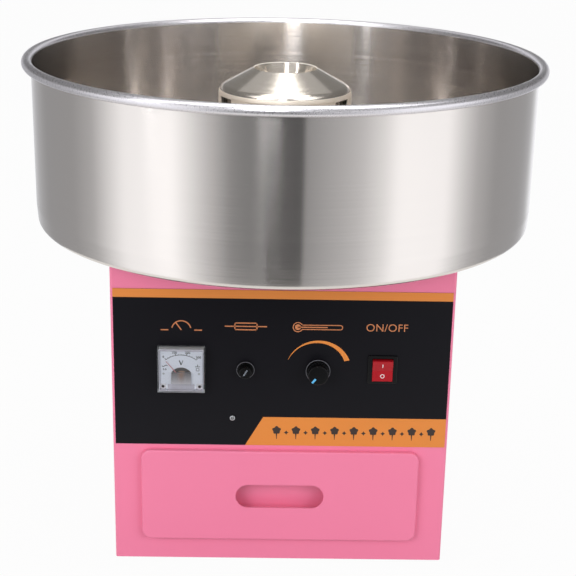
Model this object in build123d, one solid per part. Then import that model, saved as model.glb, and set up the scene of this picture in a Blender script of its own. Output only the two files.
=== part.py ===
"""Cotton candy machine: a sheet-steel cabinet with a drawer and a control panel, a stainless
bowl that lifts off, and a heated spinner head driven by a motor hung under the cabinet's top.

Millimetres, +Z up. The origin is on the table under the spinner's axis, and the control
panel faces -Y. Every piece is a solid of its own, written to parts/NODE.step.
"""
from build123d import *
import os
from math import cos, hypot, radians, sin

# ---- Driving dimensions -----------------------------------------------------------------
# Cabinet
CABINET_WIDTH = 325.0
CABINET_DEPTH = 315.0
CABINET_HEIGHT = 308.0
SHEET = 1.2                # steel sheet of the cabinet's panels
BEND_R = 2.5               # outside radius of the cabinet's two front corners
FLANGE = 12.0              # width of the flanges that the panels are screwed to
PANEL_GAP = 0.1            # play between neighbouring panels
FOOT_HEIGHT = 12.0
FOOT_R = 15.0
FOOT_INSET = 36.0          # foot's centre, in from the cabinet's front and back
FOOT_BESIDE_TRAY = 8.5     # foot's centre, out from the tray's side
SHELF_Z = 136.0            # top of the shelf over the drawer

# Bowl
RIM_R = 260.0
RIM_BEAD_R = 4.95          # outside radius of the rolled bead
BOWL_LEAN = 1.9            # how much further in the wall stands at the floor than at the rim
BOWL_HEIGHT = 164.8
BOWL_SHEET = 0.8
BOWL_CORNER_R = 6.0
BOWL_BREAK_HEIGHT = 20.0   # the wall turns in a little below this height
BOWL_BREAK_IN = 0.4        # how far the wall has come in there
BOWL_HOLE_R = 85.0
BOWL_COLLAR = 14.0         # turned-up edge round the hole
REST_HEIGHT = 6.6          # rubber rests that the bowl stands on
REST_R = 9.0
REST_SPREAD = 95.0         # rests stand at plus and minus this in X and Y
REST_PIN_R = 3.0
REST_PIN_RISE = 7.0        # of the pins above the rests
PIN_CLEARANCE = 0.6

# Drawer
DRAWER_FRONT_WIDTH = 270.6
DRAWER_FRONT_HEIGHT = 96.3
DRAWER_FRONT_BOTTOM = 35.7
DRAWER_PROUD = 6.0
DRAWER_CORNER_R = 9.5
DRAWER_SHEET = 1.2
TRAY_WIDTH = 236.0
TRAY_DEPTH = 204.0
TRAY_SHEET = 1.0
TRAY_LIP = 4.6             # tray's bottom above, and its edge below, the front's edges
SLOT_WIDTH = 86.4
SLOT_HEIGHT = 25.0
CUP_DEPTH = 14.0           # finger cup behind the slot
CUP_MARGIN = 8.0           # cup's inside beyond the slot on every side
RUNNER_PLAY = 0.3

# Control panel
OVERLAY_WIDTH = 320.0
OVERLAY_BOTTOM = 136.7
OVERLAY_TOP = 296.2
OVERLAY_THICK = 0.5
CONTROL_Z = 216.0          # the row that the fuse and the knob sit on
METER_X = -95.7
FUSE_X = -34.7
KNOB_X = 34.5
SWITCH_X = 96.1
METER_Z = CONTROL_Z + 1.0  # the meter and the switch sit a little above the row
SWITCH_Z = CONTROL_Z + 2.0
PANEL_SCREW_X = -46.9
PANEL_SCREW_Z = 165.6

# Meter
METER_SIZE = 44.8
METER_DEPTH = 8.7
METER_WALL = 1.2
METER_BARREL_R = 19.5
METER_BARREL_DEPTH = 24.0
NEEDLE_REACH = 22.5
NEEDLE_DROP = 8.6          # needle's pivot below the meter's centre
WINDOW_R = 10.9            # of the dial's half-moon opening, round the needle's pivot
WINDOW_SILL = 5.4          # its straight lower edge, above the pivot
NEEDLE_TAIL = 5.0          # counterweight end, past the pivot
NEEDLE_TAIL_HALF = 0.55
NEEDLE_TIP_HALF = 0.2
NEEDLE_REST = 40.0         # degrees left of upright at zero

# Fuse holder
FUSE_FLANGE_R = 8.65
FUSE_BARREL_R = 6.3
FUSE_BARREL_LENGTH = 32.0
FUSE_CAP_R = 5.9
FUSE_CAP_LENGTH = 7.6
COIN_SLOT_LENGTH = 7.6
COIN_SLOT_WIDTH = 1.7
COIN_SLOT_DEPTH = 1.2
COIN_SLOT_TURN = 60.0      # degrees from level
FUSE_LINK_R = 3.15
FUSE_LINK_LENGTH = 32.0

# Knob
KNOB_SKIRT_R = 11.8
KNOB_BODY_R = 10.2
KNOB_FACE_R = 9.6
KNOB_LENGTH = 13.6
KNOB_FLUTES = 24
POT_R = 12.0

# Rocker switch
SWITCH_BEZEL = 28.4
SWITCH_BEZEL_PROUD = 2.0
ROCKER_WIDTH = 19.4
ROCKER_HEIGHT = 21.6
ROCKER_THROW = 16.0        # degrees between off and on
SWITCH_DEPTH = 24.0

# Spinner head
HEAD_R = 67.0
HEAD_TOP_Z = 478.0
HEAD_SHOULDER_Z = 459.0
HEAD_SKIRT_HEIGHT = 38.0
HEAD_MOUTH_R = 32.0
HEAD_SHEET = 1.0
HEAD_SHOULDER_R = 7.0
HEAD_NOTCHES = 3
HEAD_NOTCH_WIDTH = 24.0
HEAD_NOTCH_START = -33.0   # degrees from +X to the first notch
BAND_R = 61.5
BAND_SLOTS = 40
HEATER_R = 50.0
HEATER_COIL_R = 3.0
CUP_MOUTH_R = 28.0
CUP_FOOT_R = 19.0
CUP_BELOW_MOUTH = 16.0     # sugar cup's edge, under the mouth of the cover
SHAFT_R = 6.0
SHAFT_BORE_R = 2.6

# Motor
STATOR_R = 50.0
ROTOR_R = 30.0
AIR_GAP = 0.5
STATOR_HEIGHT = 50.0
BELL_R = 52.0
BELL_DEPTH = 27.0
MOTOR_TOP_Z = 262.0
BEARING_R = 13.0
BEARING_WIDTH = 8.0
FAN_R = 46.0
FAN_BLADES = 7
MOTOR_PLATE = 3.0

# Fits and fasteners
RUNNING_FIT = 0.05         # radial play of what turns in a bore
HOLE_PLAY = 0.1            # radial play of a screw in its hole
LOOSE_FIT = 0.3            # between faces that pass each other
SCREW_R = 2.0
SCREW_HEAD_R = 3.7
SCREW_HEAD = 2.3
SCREW_LENGTH = 8.0
SMALL_SCREW_R = 1.4
SMALL_HEAD_R = 2.6
SMALL_HEAD = 1.6

# ---- Places that follow from them -------------------------------------------------------
BASE_Z = FOOT_HEIGHT
TOP_Z = BASE_Z + CABINET_HEIGHT
SIDE_X = CABINET_WIDTH / 2
FRONT_Y = -CABINET_DEPTH / 2
BACK_Y = CABINET_DEPTH / 2
OVERLAY_Y = FRONT_Y - OVERLAY_THICK
INNER_X = SIDE_X - SHEET - PANEL_GAP          # outermost reach of the plates inside
INNER_Y = BACK_Y - SHEET - PANEL_GAP
BOWL_Z = TOP_Z + REST_HEIGHT
RIM_Z = BOWL_Z + BOWL_HEIGHT
FACE_Y = FRONT_Y - DRAWER_PROUD               # front face of the drawer
DRAWER_MID_Z = DRAWER_FRONT_BOTTOM + DRAWER_FRONT_HEIGHT / 2
TRAY_BOTTOM = DRAWER_FRONT_BOTTOM + TRAY_LIP
TRAY_TOP = DRAWER_FRONT_BOTTOM + DRAWER_FRONT_HEIGHT - TRAY_LIP - 1.5
TRAY_FRONT_Y = FACE_Y + DRAWER_SHEET
TRAY_BACK_Y = TRAY_FRONT_Y + TRAY_DEPTH
STATOR_BOTTOM_Z = MOTOR_TOP_Z - BELL_DEPTH - STATOR_HEIGHT
STATOR_TOP_Z = MOTOR_TOP_Z - BELL_DEPTH
MOTOR_BOTTOM_Z = STATOR_BOTTOM_Z - BELL_DEPTH
PLATE_TOP_Z = MOTOR_TOP_Z + MOTOR_PLATE
HEAD_SKIRT_Z = HEAD_SHOULDER_Z - HEAD_SKIRT_HEIGHT
BOWL_WALL_R = RIM_R - 2 * RIM_BEAD_R + BOWL_SHEET
BOWL_FOOT_R = BOWL_WALL_R - BOWL_LEAN
CORNERS = [(-1, -1), (1, -1), (1, 1), (-1, 1)]


# ---- Small builders ---------------------------------------------------------------------
def block(x0, x1, y0, y1, z0, z1):
    """A box from its low corner to its high corner."""
    return Pos((x0 + x1) / 2, (y0 + y1) / 2, (z0 + z1) / 2) * Box(x1 - x0, y1 - y0, z1 - z0)


def rod(radius, z0, z1, x=0.0, y=0.0):
    """An upright cylinder."""
    return Pos(x, y, (z0 + z1) / 2) * Cylinder(radius, z1 - z0)


def ring(outer, inner, z0, z1, x=0.0, y=0.0):
    """An upright tube."""
    return rod(outer, z0, z1, x, y) - rod(inner, z0 - 1, z1 + 1, x, y)


def rod_y(radius, y0, y1, x, z):
    """A cylinder along Y."""
    return Pos(x, (y0 + y1) / 2, z) * Rot(90, 0, 0) * Cylinder(radius, y1 - y0)


def rod_x(radius, x0, x1, y, z):
    """A cylinder along X."""
    return Pos((x0 + x1) / 2, y, z) * Rot(0, 90, 0) * Cylinder(radius, x1 - x0)


def front_slab(sketch, y0, y1):
    """A front-view sketch (x right, z up) made solid between y0 and y1."""
    return extrude(Plane.XZ.offset(-y1) * sketch, y1 - y0)


def turned_polygon(*points):
    """A straight-sided half-section turned about the Z axis."""
    return revolve(Plane.XZ * make_face(Polyline(*points, close=True)), Axis.Z)


def around(count, radius, start=0.0):
    """Equally spaced places on a circle, as (x, y, angle in degrees)."""
    places = []
    for i in range(count):
        angle = start + 360.0 * i / count
        places.append((radius * cos(radians(angle)), radius * sin(radians(angle)), angle))
    return places


def hexagon_z(across, z0, z1, x=0.0, y=0.0):
    """A hexagon bar standing up."""
    return extrude(Plane.XY.offset(z0) * Pos(x, y) * RegularPolygon(across / 2, 6, False), z1 - z0)


def hexagon_y(across, y0, y1, x, z):
    """A hexagon bar along Y."""
    return front_slab(Pos(x, z) * RegularPolygon(across / 2, 6, False), y0, y1)


def screw(place, direction, radius=SCREW_R, head_r=SCREW_HEAD_R, head=SCREW_HEAD, length=SCREW_LENGTH):
    """A pan-head screw: its head rests at place and points along direction."""
    solid = Cylinder(radius, length, align=(Align.CENTER, Align.CENTER, Align.MAX))
    cap = Cylinder(head_r, head, align=(Align.CENTER, Align.CENTER, Align.MIN))
    cap = fillet(cap.edges().group_by(Axis.Z)[-1], head * 0.45)
    cross = Box(head_r * 1.1, head_r * 0.24, head) + Box(head_r * 0.24, head_r * 1.1, head)
    cap -= Pos(0, 0, head) * cross
    return Plane(origin=place, z_dir=direction) * (solid + cap)


def hole(place, direction, radius, depth=6.0):
    """A drill through a sheet at place, along direction, both ways."""
    return Plane(origin=place, z_dir=direction) * Cylinder(radius, 2 * depth)


def wire(points, radius=1.2, bend=6.0):
    """A round wire along straight runs joined by arcs."""
    path = FilletPolyline(*points, radius=bend) if len(points) > 2 else Line(*points)
    return sweep(Plane(origin=path @ 0, z_dir=path % 0) * Circle(radius), path=path)


def bend_r(points):
    """The largest arc that every corner of a wire's route has room for, 6 mm at most."""
    runs = [hypot(*[b - a for a, b in zip(p, q)]) for p, q in zip(points, points[1:])]
    return min([6.0] + [0.45 * min(a, b) for a, b in zip(runs, runs[1:])])


# ---- Where the fasteners go -------------------------------------------------------------
TOP_FLANGE_Z = TOP_Z - FLANGE / 2
BASE_FLANGE_Z = BASE_Z + FLANGE / 2 + SHEET
SHELF_FLANGE_Z = SHELF_Z - SHEET - FLANGE / 2
SIDE_ROW_SPACING = 100.0
SIDE_ROWS = [-SIDE_ROW_SPACING, 0.0, SIDE_ROW_SPACING]
BACK_ROW_INSET = 48.0      # top and bottom screws of the back's sides, in from its ends
BACK_ROWS = [BASE_Z + BACK_ROW_INSET, (BASE_Z + TOP_Z) / 2, TOP_Z - BACK_ROW_INSET]
BACK_EDGE_X = 80.0         # screws in the back's top and bottom edges, out from its middle


def side_screws(height):
    """Screws in both sides at one height, as (place, outward direction)."""
    return [((s * SIDE_X, y, height), (s, 0, 0)) for s in (-1, 1) for y in SIDE_ROWS]


BACK_SIDE_SCREWS = [((s * (SIDE_X - SHEET - FLANGE / 2), BACK_Y, z), (0, 1, 0))
                    for s in (-1, 1) for z in BACK_ROWS]
BACK_TOP_SCREWS = [((x, BACK_Y, TOP_FLANGE_Z), (0, 1, 0)) for x in (-BACK_EDGE_X, BACK_EDGE_X)]
BACK_BASE_SCREWS = [((x, BACK_Y, BASE_FLANGE_Z), (0, 1, 0)) for x in (-BACK_EDGE_X, BACK_EDGE_X)]
POST_X = 72.0
POST_Y = 62.0
POST_R = 5.0
POST_SCREWS = [((sx * POST_X, sy * POST_Y, TOP_Z), (0, 0, 1)) for sx, sy in CORNERS]
GUARD_HOLE_R = 58.0
GUARD_FLANGE_R = 80.0
GUARD_SHEET = 1.0
GUARD_TOP_R = 34.0
GUARD_TOP_Z = 400.0
GUARD_SCREW_R = (GUARD_HOLE_R + GUARD_FLANGE_R) / 2 + 3.0
GUARD_SCREWS = [((x, y, TOP_Z + GUARD_SHEET), (0, 0, 1)) for x, y, _ in around(4, GUARD_SCREW_R)]
INLET_X = -104.0
INLET_Z = 176.0
INLET_FLANGE_W = 50.0
INLET_FLANGE_H = 24.0
INLET_FLANGE = 3.0
INLET_SCREW_X = 20.0
INLET_SCREWS = [((INLET_X + s * INLET_SCREW_X, BACK_Y + INLET_FLANGE, INLET_Z), (0, 1, 0)) for s in (-1, 1)]
METER_SCREW_X = 17.4
METER_SCREW_DROP = METER_SIZE / 2 - 5.0
METER_FLANGE = 3.2         # of the meter's case, against the panel
METER_SCREWS = [((METER_X + s * METER_SCREW_X, OVERLAY_Y - METER_FLANGE, METER_Z - METER_SCREW_DROP),
                 (0, -1, 0)) for s in (-1, 1)]
FOOT_X = TRAY_WIDTH / 2 + FOOT_BESIDE_TRAY
FOOT_PLACES = [(sx * FOOT_X, sy * (CABINET_DEPTH / 2 - FOOT_INSET)) for sx, sy in CORNERS]
REST_PLACES = [(sx * REST_SPREAD, sy * REST_SPREAD) for sx, sy in CORNERS]
SWITCH_CUT_W = ROCKER_WIDTH + 4.0
SWITCH_CUT_H = ROCKER_HEIGHT + 5.0


def drill(solid, screws, radius=SCREW_R + HOLE_PLAY):
    """Drill a sheet for a list of screws."""
    for place, direction in screws:
        solid -= hole(place, direction, radius)
    return solid


# ---- Cabinet ----------------------------------------------------------------------------
LOUVRE_LENGTH = 52.0
LOUVRE_RISE = 5.0
LOUVRE_PITCH = 15.0
LOUVRE_ROWS = 7
LOUVRE_BOTTOM_Z = 172.0
VENT_LENGTH = 30.0          # air slots in the base, three by three
VENT_WIDTH = 5.0
VENT_SPACING_X = 40.0
VENT_SPACING_Y = 20.0
VENT_Y = 80.0


def louvre_cut():
    """The slot under one louvre's hood, in the XZ plane, centred, opening at z 0."""
    return block(-LOUVRE_LENGTH / 2 + SHEET, LOUVRE_LENGTH / 2 - SHEET, -3 * SHEET, 3 * SHEET,
                 0, LOUVRE_RISE - SHEET)


def louvre_hood():
    """A pressed hood standing out along -Y from y 0, open below."""
    half = LOUVRE_LENGTH / 2
    outer = rod_x(LOUVRE_RISE, -half, half, 0, 0)
    inner = rod_x(LOUVRE_RISE - SHEET, -half + SHEET, half - SHEET, 0, 0)
    quarter = block(-half, half, -LOUVRE_RISE, 0, 0, LOUVRE_RISE)
    return (outer - inner) & quarter


def louvred(panel, frame_for):
    """Press a column of louvres into a panel; frame_for gives the frame of one at a height."""
    for i in range(LOUVRE_ROWS):
        frame = frame_for(LOUVRE_BOTTOM_Z + i * LOUVRE_PITCH)
        panel = panel - frame * louvre_cut() + frame * louvre_hood()
    return panel


def control_cutouts(depth=6.0):
    """What the control panel's devices pass through, as one tool."""
    y0, y1 = FRONT_Y - depth, FRONT_Y + depth
    tool = rod_y(METER_BARREL_R + LOOSE_FIT, y0, y1, METER_X, METER_Z)
    tool += rod_y(FUSE_BARREL_R + HOLE_PLAY, y0, y1, FUSE_X, CONTROL_Z)
    tool += rod_y(POT_BUSH_R + HOLE_PLAY, y0, y1, KNOB_X, CONTROL_Z)
    tool += block(SWITCH_X - SWITCH_CUT_W / 2 - HOLE_PLAY, SWITCH_X + SWITCH_CUT_W / 2 + HOLE_PLAY,
                  y0, y1, SWITCH_Z - SWITCH_CUT_H / 2 - HOLE_PLAY, SWITCH_Z + SWITCH_CUT_H / 2 + HOLE_PLAY)
    tool += rod_y(SMALL_SCREW_R + HOLE_PLAY, y0, y1, PANEL_SCREW_X, PANEL_SCREW_Z)
    for (x, _, z), _ in METER_SCREWS:
        tool += rod_y(SMALL_SCREW_R + HOLE_PLAY, y0, y1, x, z)
    return tool


POT_BUSH_R = 4.5


def cabinet_shell():
    """Front and sides folded from one sheet, with flanges inside the back edges."""
    outer = block(-SIDE_X, SIDE_X, FRONT_Y, BACK_Y, BASE_Z, TOP_Z)
    outer = fillet(outer.edges().filter_by(Axis.Z).group_by(Axis.Y)[0], BEND_R)
    inner = block(-SIDE_X + SHEET, SIDE_X - SHEET, FRONT_Y + SHEET, BACK_Y + SHEET, BASE_Z - 1, TOP_Z + 1)
    inner = fillet(inner.edges().filter_by(Axis.Z).group_by(Axis.Y)[0], BEND_R - SHEET)
    shell = outer - inner
    flange_y = BACK_Y - SHEET
    for s in (-1, 1):
        edge = s * (SIDE_X - SHEET)
        low, high = sorted((edge, edge - s * FLANGE))
        shell += block(low, high, flange_y - SHEET, flange_y, BASE_Z + FLANGE + 2 * SHEET,
                       TOP_Z - FLANGE - 2 * SHEET)
    opening_margin = TRAY_LIP - 1.6
    shell -= block(-TRAY_WIDTH / 2 - opening_margin, TRAY_WIDTH / 2 + opening_margin, FRONT_Y - 1,
                   FRONT_Y + SHEET + 1, TRAY_BOTTOM - 1.5, TRAY_TOP + 1.5)
    shell -= control_cutouts()
    shell = drill(shell, side_screws(TOP_FLANGE_Z) + side_screws(BASE_FLANGE_Z) + side_screws(SHELF_FLANGE_Z))
    shell = drill(shell, BACK_SIDE_SCREWS)
    for s in (-1, 1):
        for y in (-45.0, 45.0):
            shell = louvred(shell, lambda z: Plane(origin=(s * SIDE_X, y, z), x_dir=(0, s, 0),
                                                   z_dir=(0, 0, 1)))
    return shell


def tray_plate(z_sheet, flange_up, reach_y=INNER_Y):
    """A flat plate that fits inside the shell, with flanges at its sides, front and back."""
    x = INNER_X
    front = FRONT_Y + SHEET + PANEL_GAP
    plate = block(-x, x, front, reach_y, z_sheet, z_sheet + SHEET)
    plate = fillet(plate.edges().filter_by(Axis.Z).group_by(Axis.Y)[0], BEND_R)
    z0, z1 = (z_sheet, z_sheet + FLANGE) if flange_up else (z_sheet + SHEET - FLANGE, z_sheet + SHEET)
    inset = FLANGE + 3 * SHEET
    for s in (-1, 1):
        low, high = sorted((s * x, s * (x - SHEET)))
        plate += block(low, high, front + inset, reach_y - inset, z0, z1)
    plate += block(-x + inset, x - inset, reach_y - SHEET, reach_y, z0, z1)
    return plate


def top_plate():
    """Lid of the cabinet, with the hole for the spinner's shaft and what is bolted to it."""
    plate = tray_plate(TOP_Z - SHEET, False)
    plate -= rod(GUARD_HOLE_R, TOP_Z - 10, TOP_Z + 10)
    for x, y in REST_PLACES:
        plate -= rod(REST_PIN_R, TOP_Z - 10, TOP_Z + 10, x, y)
    return drill(plate, side_screws(TOP_FLANGE_Z) + BACK_TOP_SCREWS + POST_SCREWS + GUARD_SCREWS)


def base_plate():
    """Bottom of the cabinet, slotted for air, on its four feet."""
    plate = tray_plate(BASE_Z, True)
    slot = extrude(SlotOverall(VENT_LENGTH, VENT_WIDTH), 10, both=True)
    for i in range(-1, 2):
        for j in range(-1, 2):
            plate -= Pos(i * VENT_SPACING_X, VENT_Y + j * VENT_SPACING_Y, BASE_Z) * slot
    for x, y in FOOT_PLACES:
        plate -= rod(FOOT_BOLT_R + HOLE_PLAY, BASE_Z - 5, BASE_Z + 5, x, y)
    return drill(plate, side_screws(BASE_FLANGE_Z) + BACK_BASE_SCREWS)


def shelf_plate():
    """Shelf that closes the drawer's bay off from the motor and the wiring."""
    plate = tray_plate(SHELF_Z - SHEET, False, BACK_Y - 2 * SHEET - PANEL_GAP)
    for x, y in BOARD_POSTS:
        plate -= rod(BOARD_SCREW_R + HOLE_PLAY, SHELF_Z - 5, SHELF_Z + 5, x, y)
    return drill(plate, side_screws(SHELF_FLANGE_Z))


def back_panel():
    """Flat back with louvres and the mains inlet's cut-out."""
    panel = block(-INNER_X, INNER_X, BACK_Y - SHEET, BACK_Y, BASE_Z + PANEL_GAP, TOP_Z - PANEL_GAP)
    panel -= block(INLET_X - INLET_BODY_W / 2 - HOLE_PLAY, INLET_X + INLET_BODY_W / 2 + HOLE_PLAY,
                   BACK_Y - 5, BACK_Y + 5, INLET_Z - INLET_BODY_H / 2 - HOLE_PLAY,
                   INLET_Z + INLET_BODY_H / 2 + HOLE_PLAY)
    panel = drill(panel, BACK_SIDE_SCREWS + BACK_TOP_SCREWS + BACK_BASE_SCREWS)
    panel = drill(panel, INLET_SCREWS, SMALL_SCREW_R + HOLE_PLAY)
    for x in (0.0, 62.0):
        panel = louvred(panel, lambda z: Plane(origin=(x, BACK_Y, z), x_dir=(-1, 0, 0), z_dir=(0, 0, 1)))
    return panel


def control_overlay():
    """Printed panel stuck on the cabinet's front."""
    middle = (OVERLAY_BOTTOM + OVERLAY_TOP) / 2
    sketch = Pos(0, middle) * Rectangle(OVERLAY_WIDTH, OVERLAY_TOP - OVERLAY_BOTTOM)
    return front_slab(sketch, OVERLAY_Y, FRONT_Y) - control_cutouts()


def cabinet_screws():
    """All the pan-head screws of the cabinet's panels."""
    places = side_screws(TOP_FLANGE_Z) + side_screws(BASE_FLANGE_Z) + side_screws(SHELF_FLANGE_Z)
    places += BACK_SIDE_SCREWS + BACK_TOP_SCREWS + BACK_BASE_SCREWS + POST_SCREWS + GUARD_SCREWS
    return [screw(place, direction) for place, direction in places]


def panel_fasteners():
    """Small screws of the overlay, the meter and the inlet, and the nuts of the fuse and the control."""
    small = dict(radius=SMALL_SCREW_R, head_r=SMALL_HEAD_R, head=SMALL_HEAD)
    places = [((PANEL_SCREW_X, OVERLAY_Y, PANEL_SCREW_Z), (0, -1, 0))] + INLET_SCREWS
    screws = [screw(place, direction, **small) for place, direction in places]
    screws += [screw(place, direction, length=9.0, **small) for place, direction in METER_SCREWS]
    return screws + panel_nuts()


# ---- Feet, rests and guard --------------------------------------------------------------
FOOT_BOLT_R = 2.5
FOOT_BOLT_HEAD = 3.0
FOOT_RECESS = 5.0


def feet():
    """Four rubber feet, each with a recess for its bolt's head."""
    pieces = []
    for x, y in FOOT_PLACES:
        foot = Pos(x, y, FOOT_HEIGHT / 2) * Cone(FOOT_R - 2, FOOT_R, FOOT_HEIGHT)
        foot -= rod(FOOT_BOLT_R * 2 + 1, -1, FOOT_RECESS, x, y)
        foot -= rod(FOOT_BOLT_R + HOLE_PLAY, 0, FOOT_HEIGHT + 1, x, y)
        pieces.append(foot)
    return pieces


def foot_bolts():
    """A bolt up through each foot, with its nut on the base plate."""
    pieces = []
    for x, y in FOOT_PLACES:
        pieces.append(rod(FOOT_BOLT_R * 1.9, FOOT_RECESS - FOOT_BOLT_HEAD, FOOT_RECESS, x, y)
                      + rod(FOOT_BOLT_R, FOOT_RECESS, BASE_Z + SHEET + 8, x, y))
        nut = hexagon_z(FOOT_BOLT_R * 3.2, BASE_Z + SHEET, BASE_Z + SHEET + 4, x, y)
        pieces.append(nut - rod(FOOT_BOLT_R + RUNNING_FIT, BASE_Z, BASE_Z + 10, x, y))
    return pieces


def bowl_rests():
    """Rubber rings that the bowl stands on."""
    return [ring(REST_R, REST_PIN_R, TOP_Z, TOP_Z + REST_HEIGHT, x, y) for x, y in REST_PLACES]


def bowl_pins():
    """Pins through the rests that keep the bowl in place."""
    pieces = []
    for x, y in REST_PLACES:
        pin = rod(REST_PIN_R, TOP_Z - SHEET, BOWL_Z + REST_PIN_RISE, x, y)
        pin = fillet(pin.edges().group_by(Axis.Z)[-1], REST_PIN_R * 0.5)
        pieces.append(pin + rod(REST_PIN_R * 2, TOP_Z - SHEET - 3, TOP_Z - SHEET, x, y))
    return pieces


def neck_guard():
    """Spun cone that keeps sugar out of the cabinet, screwed to its top."""
    z = TOP_Z
    t = GUARD_SHEET
    foot_r = GUARD_HOLE_R + 3.0
    guard = turned_polygon((foot_r, z), (GUARD_FLANGE_R, z), (GUARD_FLANGE_R, z + t),
                           (foot_r + t, z + t), (GUARD_TOP_R, GUARD_TOP_Z), (GUARD_TOP_R - t, GUARD_TOP_Z))
    return drill(guard, GUARD_SCREWS)


# ---- Bowl -------------------------------------------------------------------------------
def bowl():
    """Spun bowl: a hole with a turned-up collar, a flat floor, a wall and a rolled rim."""
    t = BOWL_SHEET
    bead_r = RIM_BEAD_R
    bead = (RIM_R - bead_r, RIM_Z - bead_r)
    collar_z = BOWL_Z + BOWL_COLLAR
    break_z = BOWL_Z + BOWL_BREAK_HEIGHT
    break_r = BOWL_WALL_R - BOWL_BREAK_IN
    outside = FilletPolyline((BOWL_HOLE_R, collar_z), (BOWL_HOLE_R, BOWL_Z), (BOWL_FOOT_R, BOWL_Z),
                             (break_r, break_z), (BOWL_WALL_R, bead[1]),
                             radius=[3 + t, BOWL_CORNER_R, 40 + t])
    inside = FilletPolyline((BOWL_HOLE_R + t, collar_z), (BOWL_HOLE_R + t, BOWL_Z + t),
                            (BOWL_FOOT_R - t, BOWL_Z + t), (break_r - t, break_z), (BOWL_WALL_R - t, bead[1]),
                            radius=[3, BOWL_CORNER_R - t, 40])
    curl = 305.0
    under_curl = CenterArc(bead, bead_r - t, 180, -curl)
    over_curl = CenterArc(bead, bead_r, 180, -curl)
    lip = Line(under_curl @ 1, over_curl @ 1)
    collar = Line(outside @ 0, inside @ 0)
    section = make_face([*outside.edges(), *under_curl.edges(), *lip.edges(), *over_curl.edges(),
                         *inside.edges(), *collar.edges()])
    dish = revolve(Plane.XZ * section, Axis.Z)
    for x, y in REST_PLACES:
        dish -= rod(REST_PIN_R + PIN_CLEARANCE, BOWL_Z - 5, BOWL_Z + 5, x, y)
    return dish


# ---- Drawer -----------------------------------------------------------------------------
def drawer_front():
    """Pressed front: a shallow pan with rounded corners and the finger slot."""
    depth = DRAWER_PROUD - LOOSE_FIT
    outline = RectangleRounded(DRAWER_FRONT_WIDTH, DRAWER_FRONT_HEIGHT, DRAWER_CORNER_R)
    outline = Pos(0, DRAWER_MID_Z) * outline
    pan = front_slab(outline, FACE_Y, FACE_Y + depth)
    pan = fillet(pan.edges().group_by(Axis.Y)[0], 1.8)
    hollow = Pos(0, DRAWER_MID_Z) * RectangleRounded(DRAWER_FRONT_WIDTH - 2 * DRAWER_SHEET,
                                                    DRAWER_FRONT_HEIGHT - 2 * DRAWER_SHEET,
                                                    DRAWER_CORNER_R - DRAWER_SHEET)
    pan -= front_slab(hollow, FACE_Y + DRAWER_SHEET, FACE_Y + depth + 1)
    slot = Pos(0, DRAWER_MID_Z) * SlotOverall(SLOT_WIDTH, SLOT_HEIGHT)
    return pan - front_slab(slot, FACE_Y - 1, FACE_Y + 3)


def cup_outline(grow):
    """Front view of the finger cup, grown by a margin."""
    margin = CUP_MARGIN + grow
    return Pos(0, DRAWER_MID_Z) * RectangleRounded(SLOT_WIDTH + 2 * margin, SLOT_HEIGHT + 2 * margin, margin)


def pull_cup():
    """Cup welded behind the finger slot."""
    y0 = TRAY_FRONT_Y
    cup = front_slab(cup_outline(TRAY_SHEET), y0, y0 + CUP_DEPTH)
    cup = fillet(cup.edges().group_by(Axis.Y)[-1], 4.0)
    hollow = front_slab(cup_outline(0), y0 - 1, y0 + CUP_DEPTH - TRAY_SHEET)
    return cup - fillet(hollow.edges().group_by(Axis.Y)[-1], 4.0 - TRAY_SHEET)


def drawer_tray():
    """Open tray welded to the back of the drawer's front."""
    half = TRAY_WIDTH / 2
    t = TRAY_SHEET
    tray = block(-half, half, TRAY_FRONT_Y, TRAY_BACK_Y, TRAY_BOTTOM, TRAY_TOP)
    tray -= block(-half + t, half - t, TRAY_FRONT_Y + t, TRAY_BACK_Y - t, TRAY_BOTTOM + t, TRAY_TOP + 1)
    return tray - front_slab(cup_outline(TRAY_SHEET), TRAY_FRONT_Y - 1, TRAY_FRONT_Y + t + 1)


def drawer_runners():
    """Folded runners on the base plate, one each side, that carry the tray."""
    pieces = []
    floor_z = BASE_Z + SHEET
    ledge_z = TRAY_BOTTOM - RUNNER_PLAY
    y0, y1 = FRONT_Y + 12.0, TRAY_BACK_Y + 8.0
    for s in (-1, 1):
        web = s * (TRAY_WIDTH / 2 + RUNNER_PLAY)
        out = web + s * SHEET
        runner = block(*sorted((web, out)), y0, y1, floor_z, ledge_z + 22.0)
        runner += block(*sorted((web, web - s * 14.0)), y0, y1, ledge_z - SHEET, ledge_z)
        runner += block(*sorted((web, web - s * 12.0)), y0, y1, floor_z, floor_z + SHEET)
        pieces.append(runner)
    return pieces


# ---- Meter ------------------------------------------------------------------------------
METER_FACE_Y = OVERLAY_Y - METER_DEPTH
DIAL_Y = METER_FACE_Y + 3.4
PIVOT_Z = METER_Z - NEEDLE_DROP


def meter_cover():
    """Clear cover in front of the dial."""
    half = METER_SIZE / 2
    cover = block(METER_X - half, METER_X + half, METER_FACE_Y, OVERLAY_Y, METER_Z - half, METER_Z + half)
    cover = fillet(cover.edges().group_by(Axis.Y)[0], 0.8)
    cover -= block(METER_X - half + METER_WALL, METER_X + half - METER_WALL, METER_FACE_Y + METER_WALL,
                   OVERLAY_Y + 1, METER_Z - half + METER_WALL, METER_Z + half - METER_WALL)
    for (x, y, z), _ in METER_SCREWS:
        cover -= rod_y(SMALL_HEAD_R + LOOSE_FIT, METER_FACE_Y - 1, METER_FACE_Y + METER_WALL + 1, x, z)
    return cover


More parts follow.
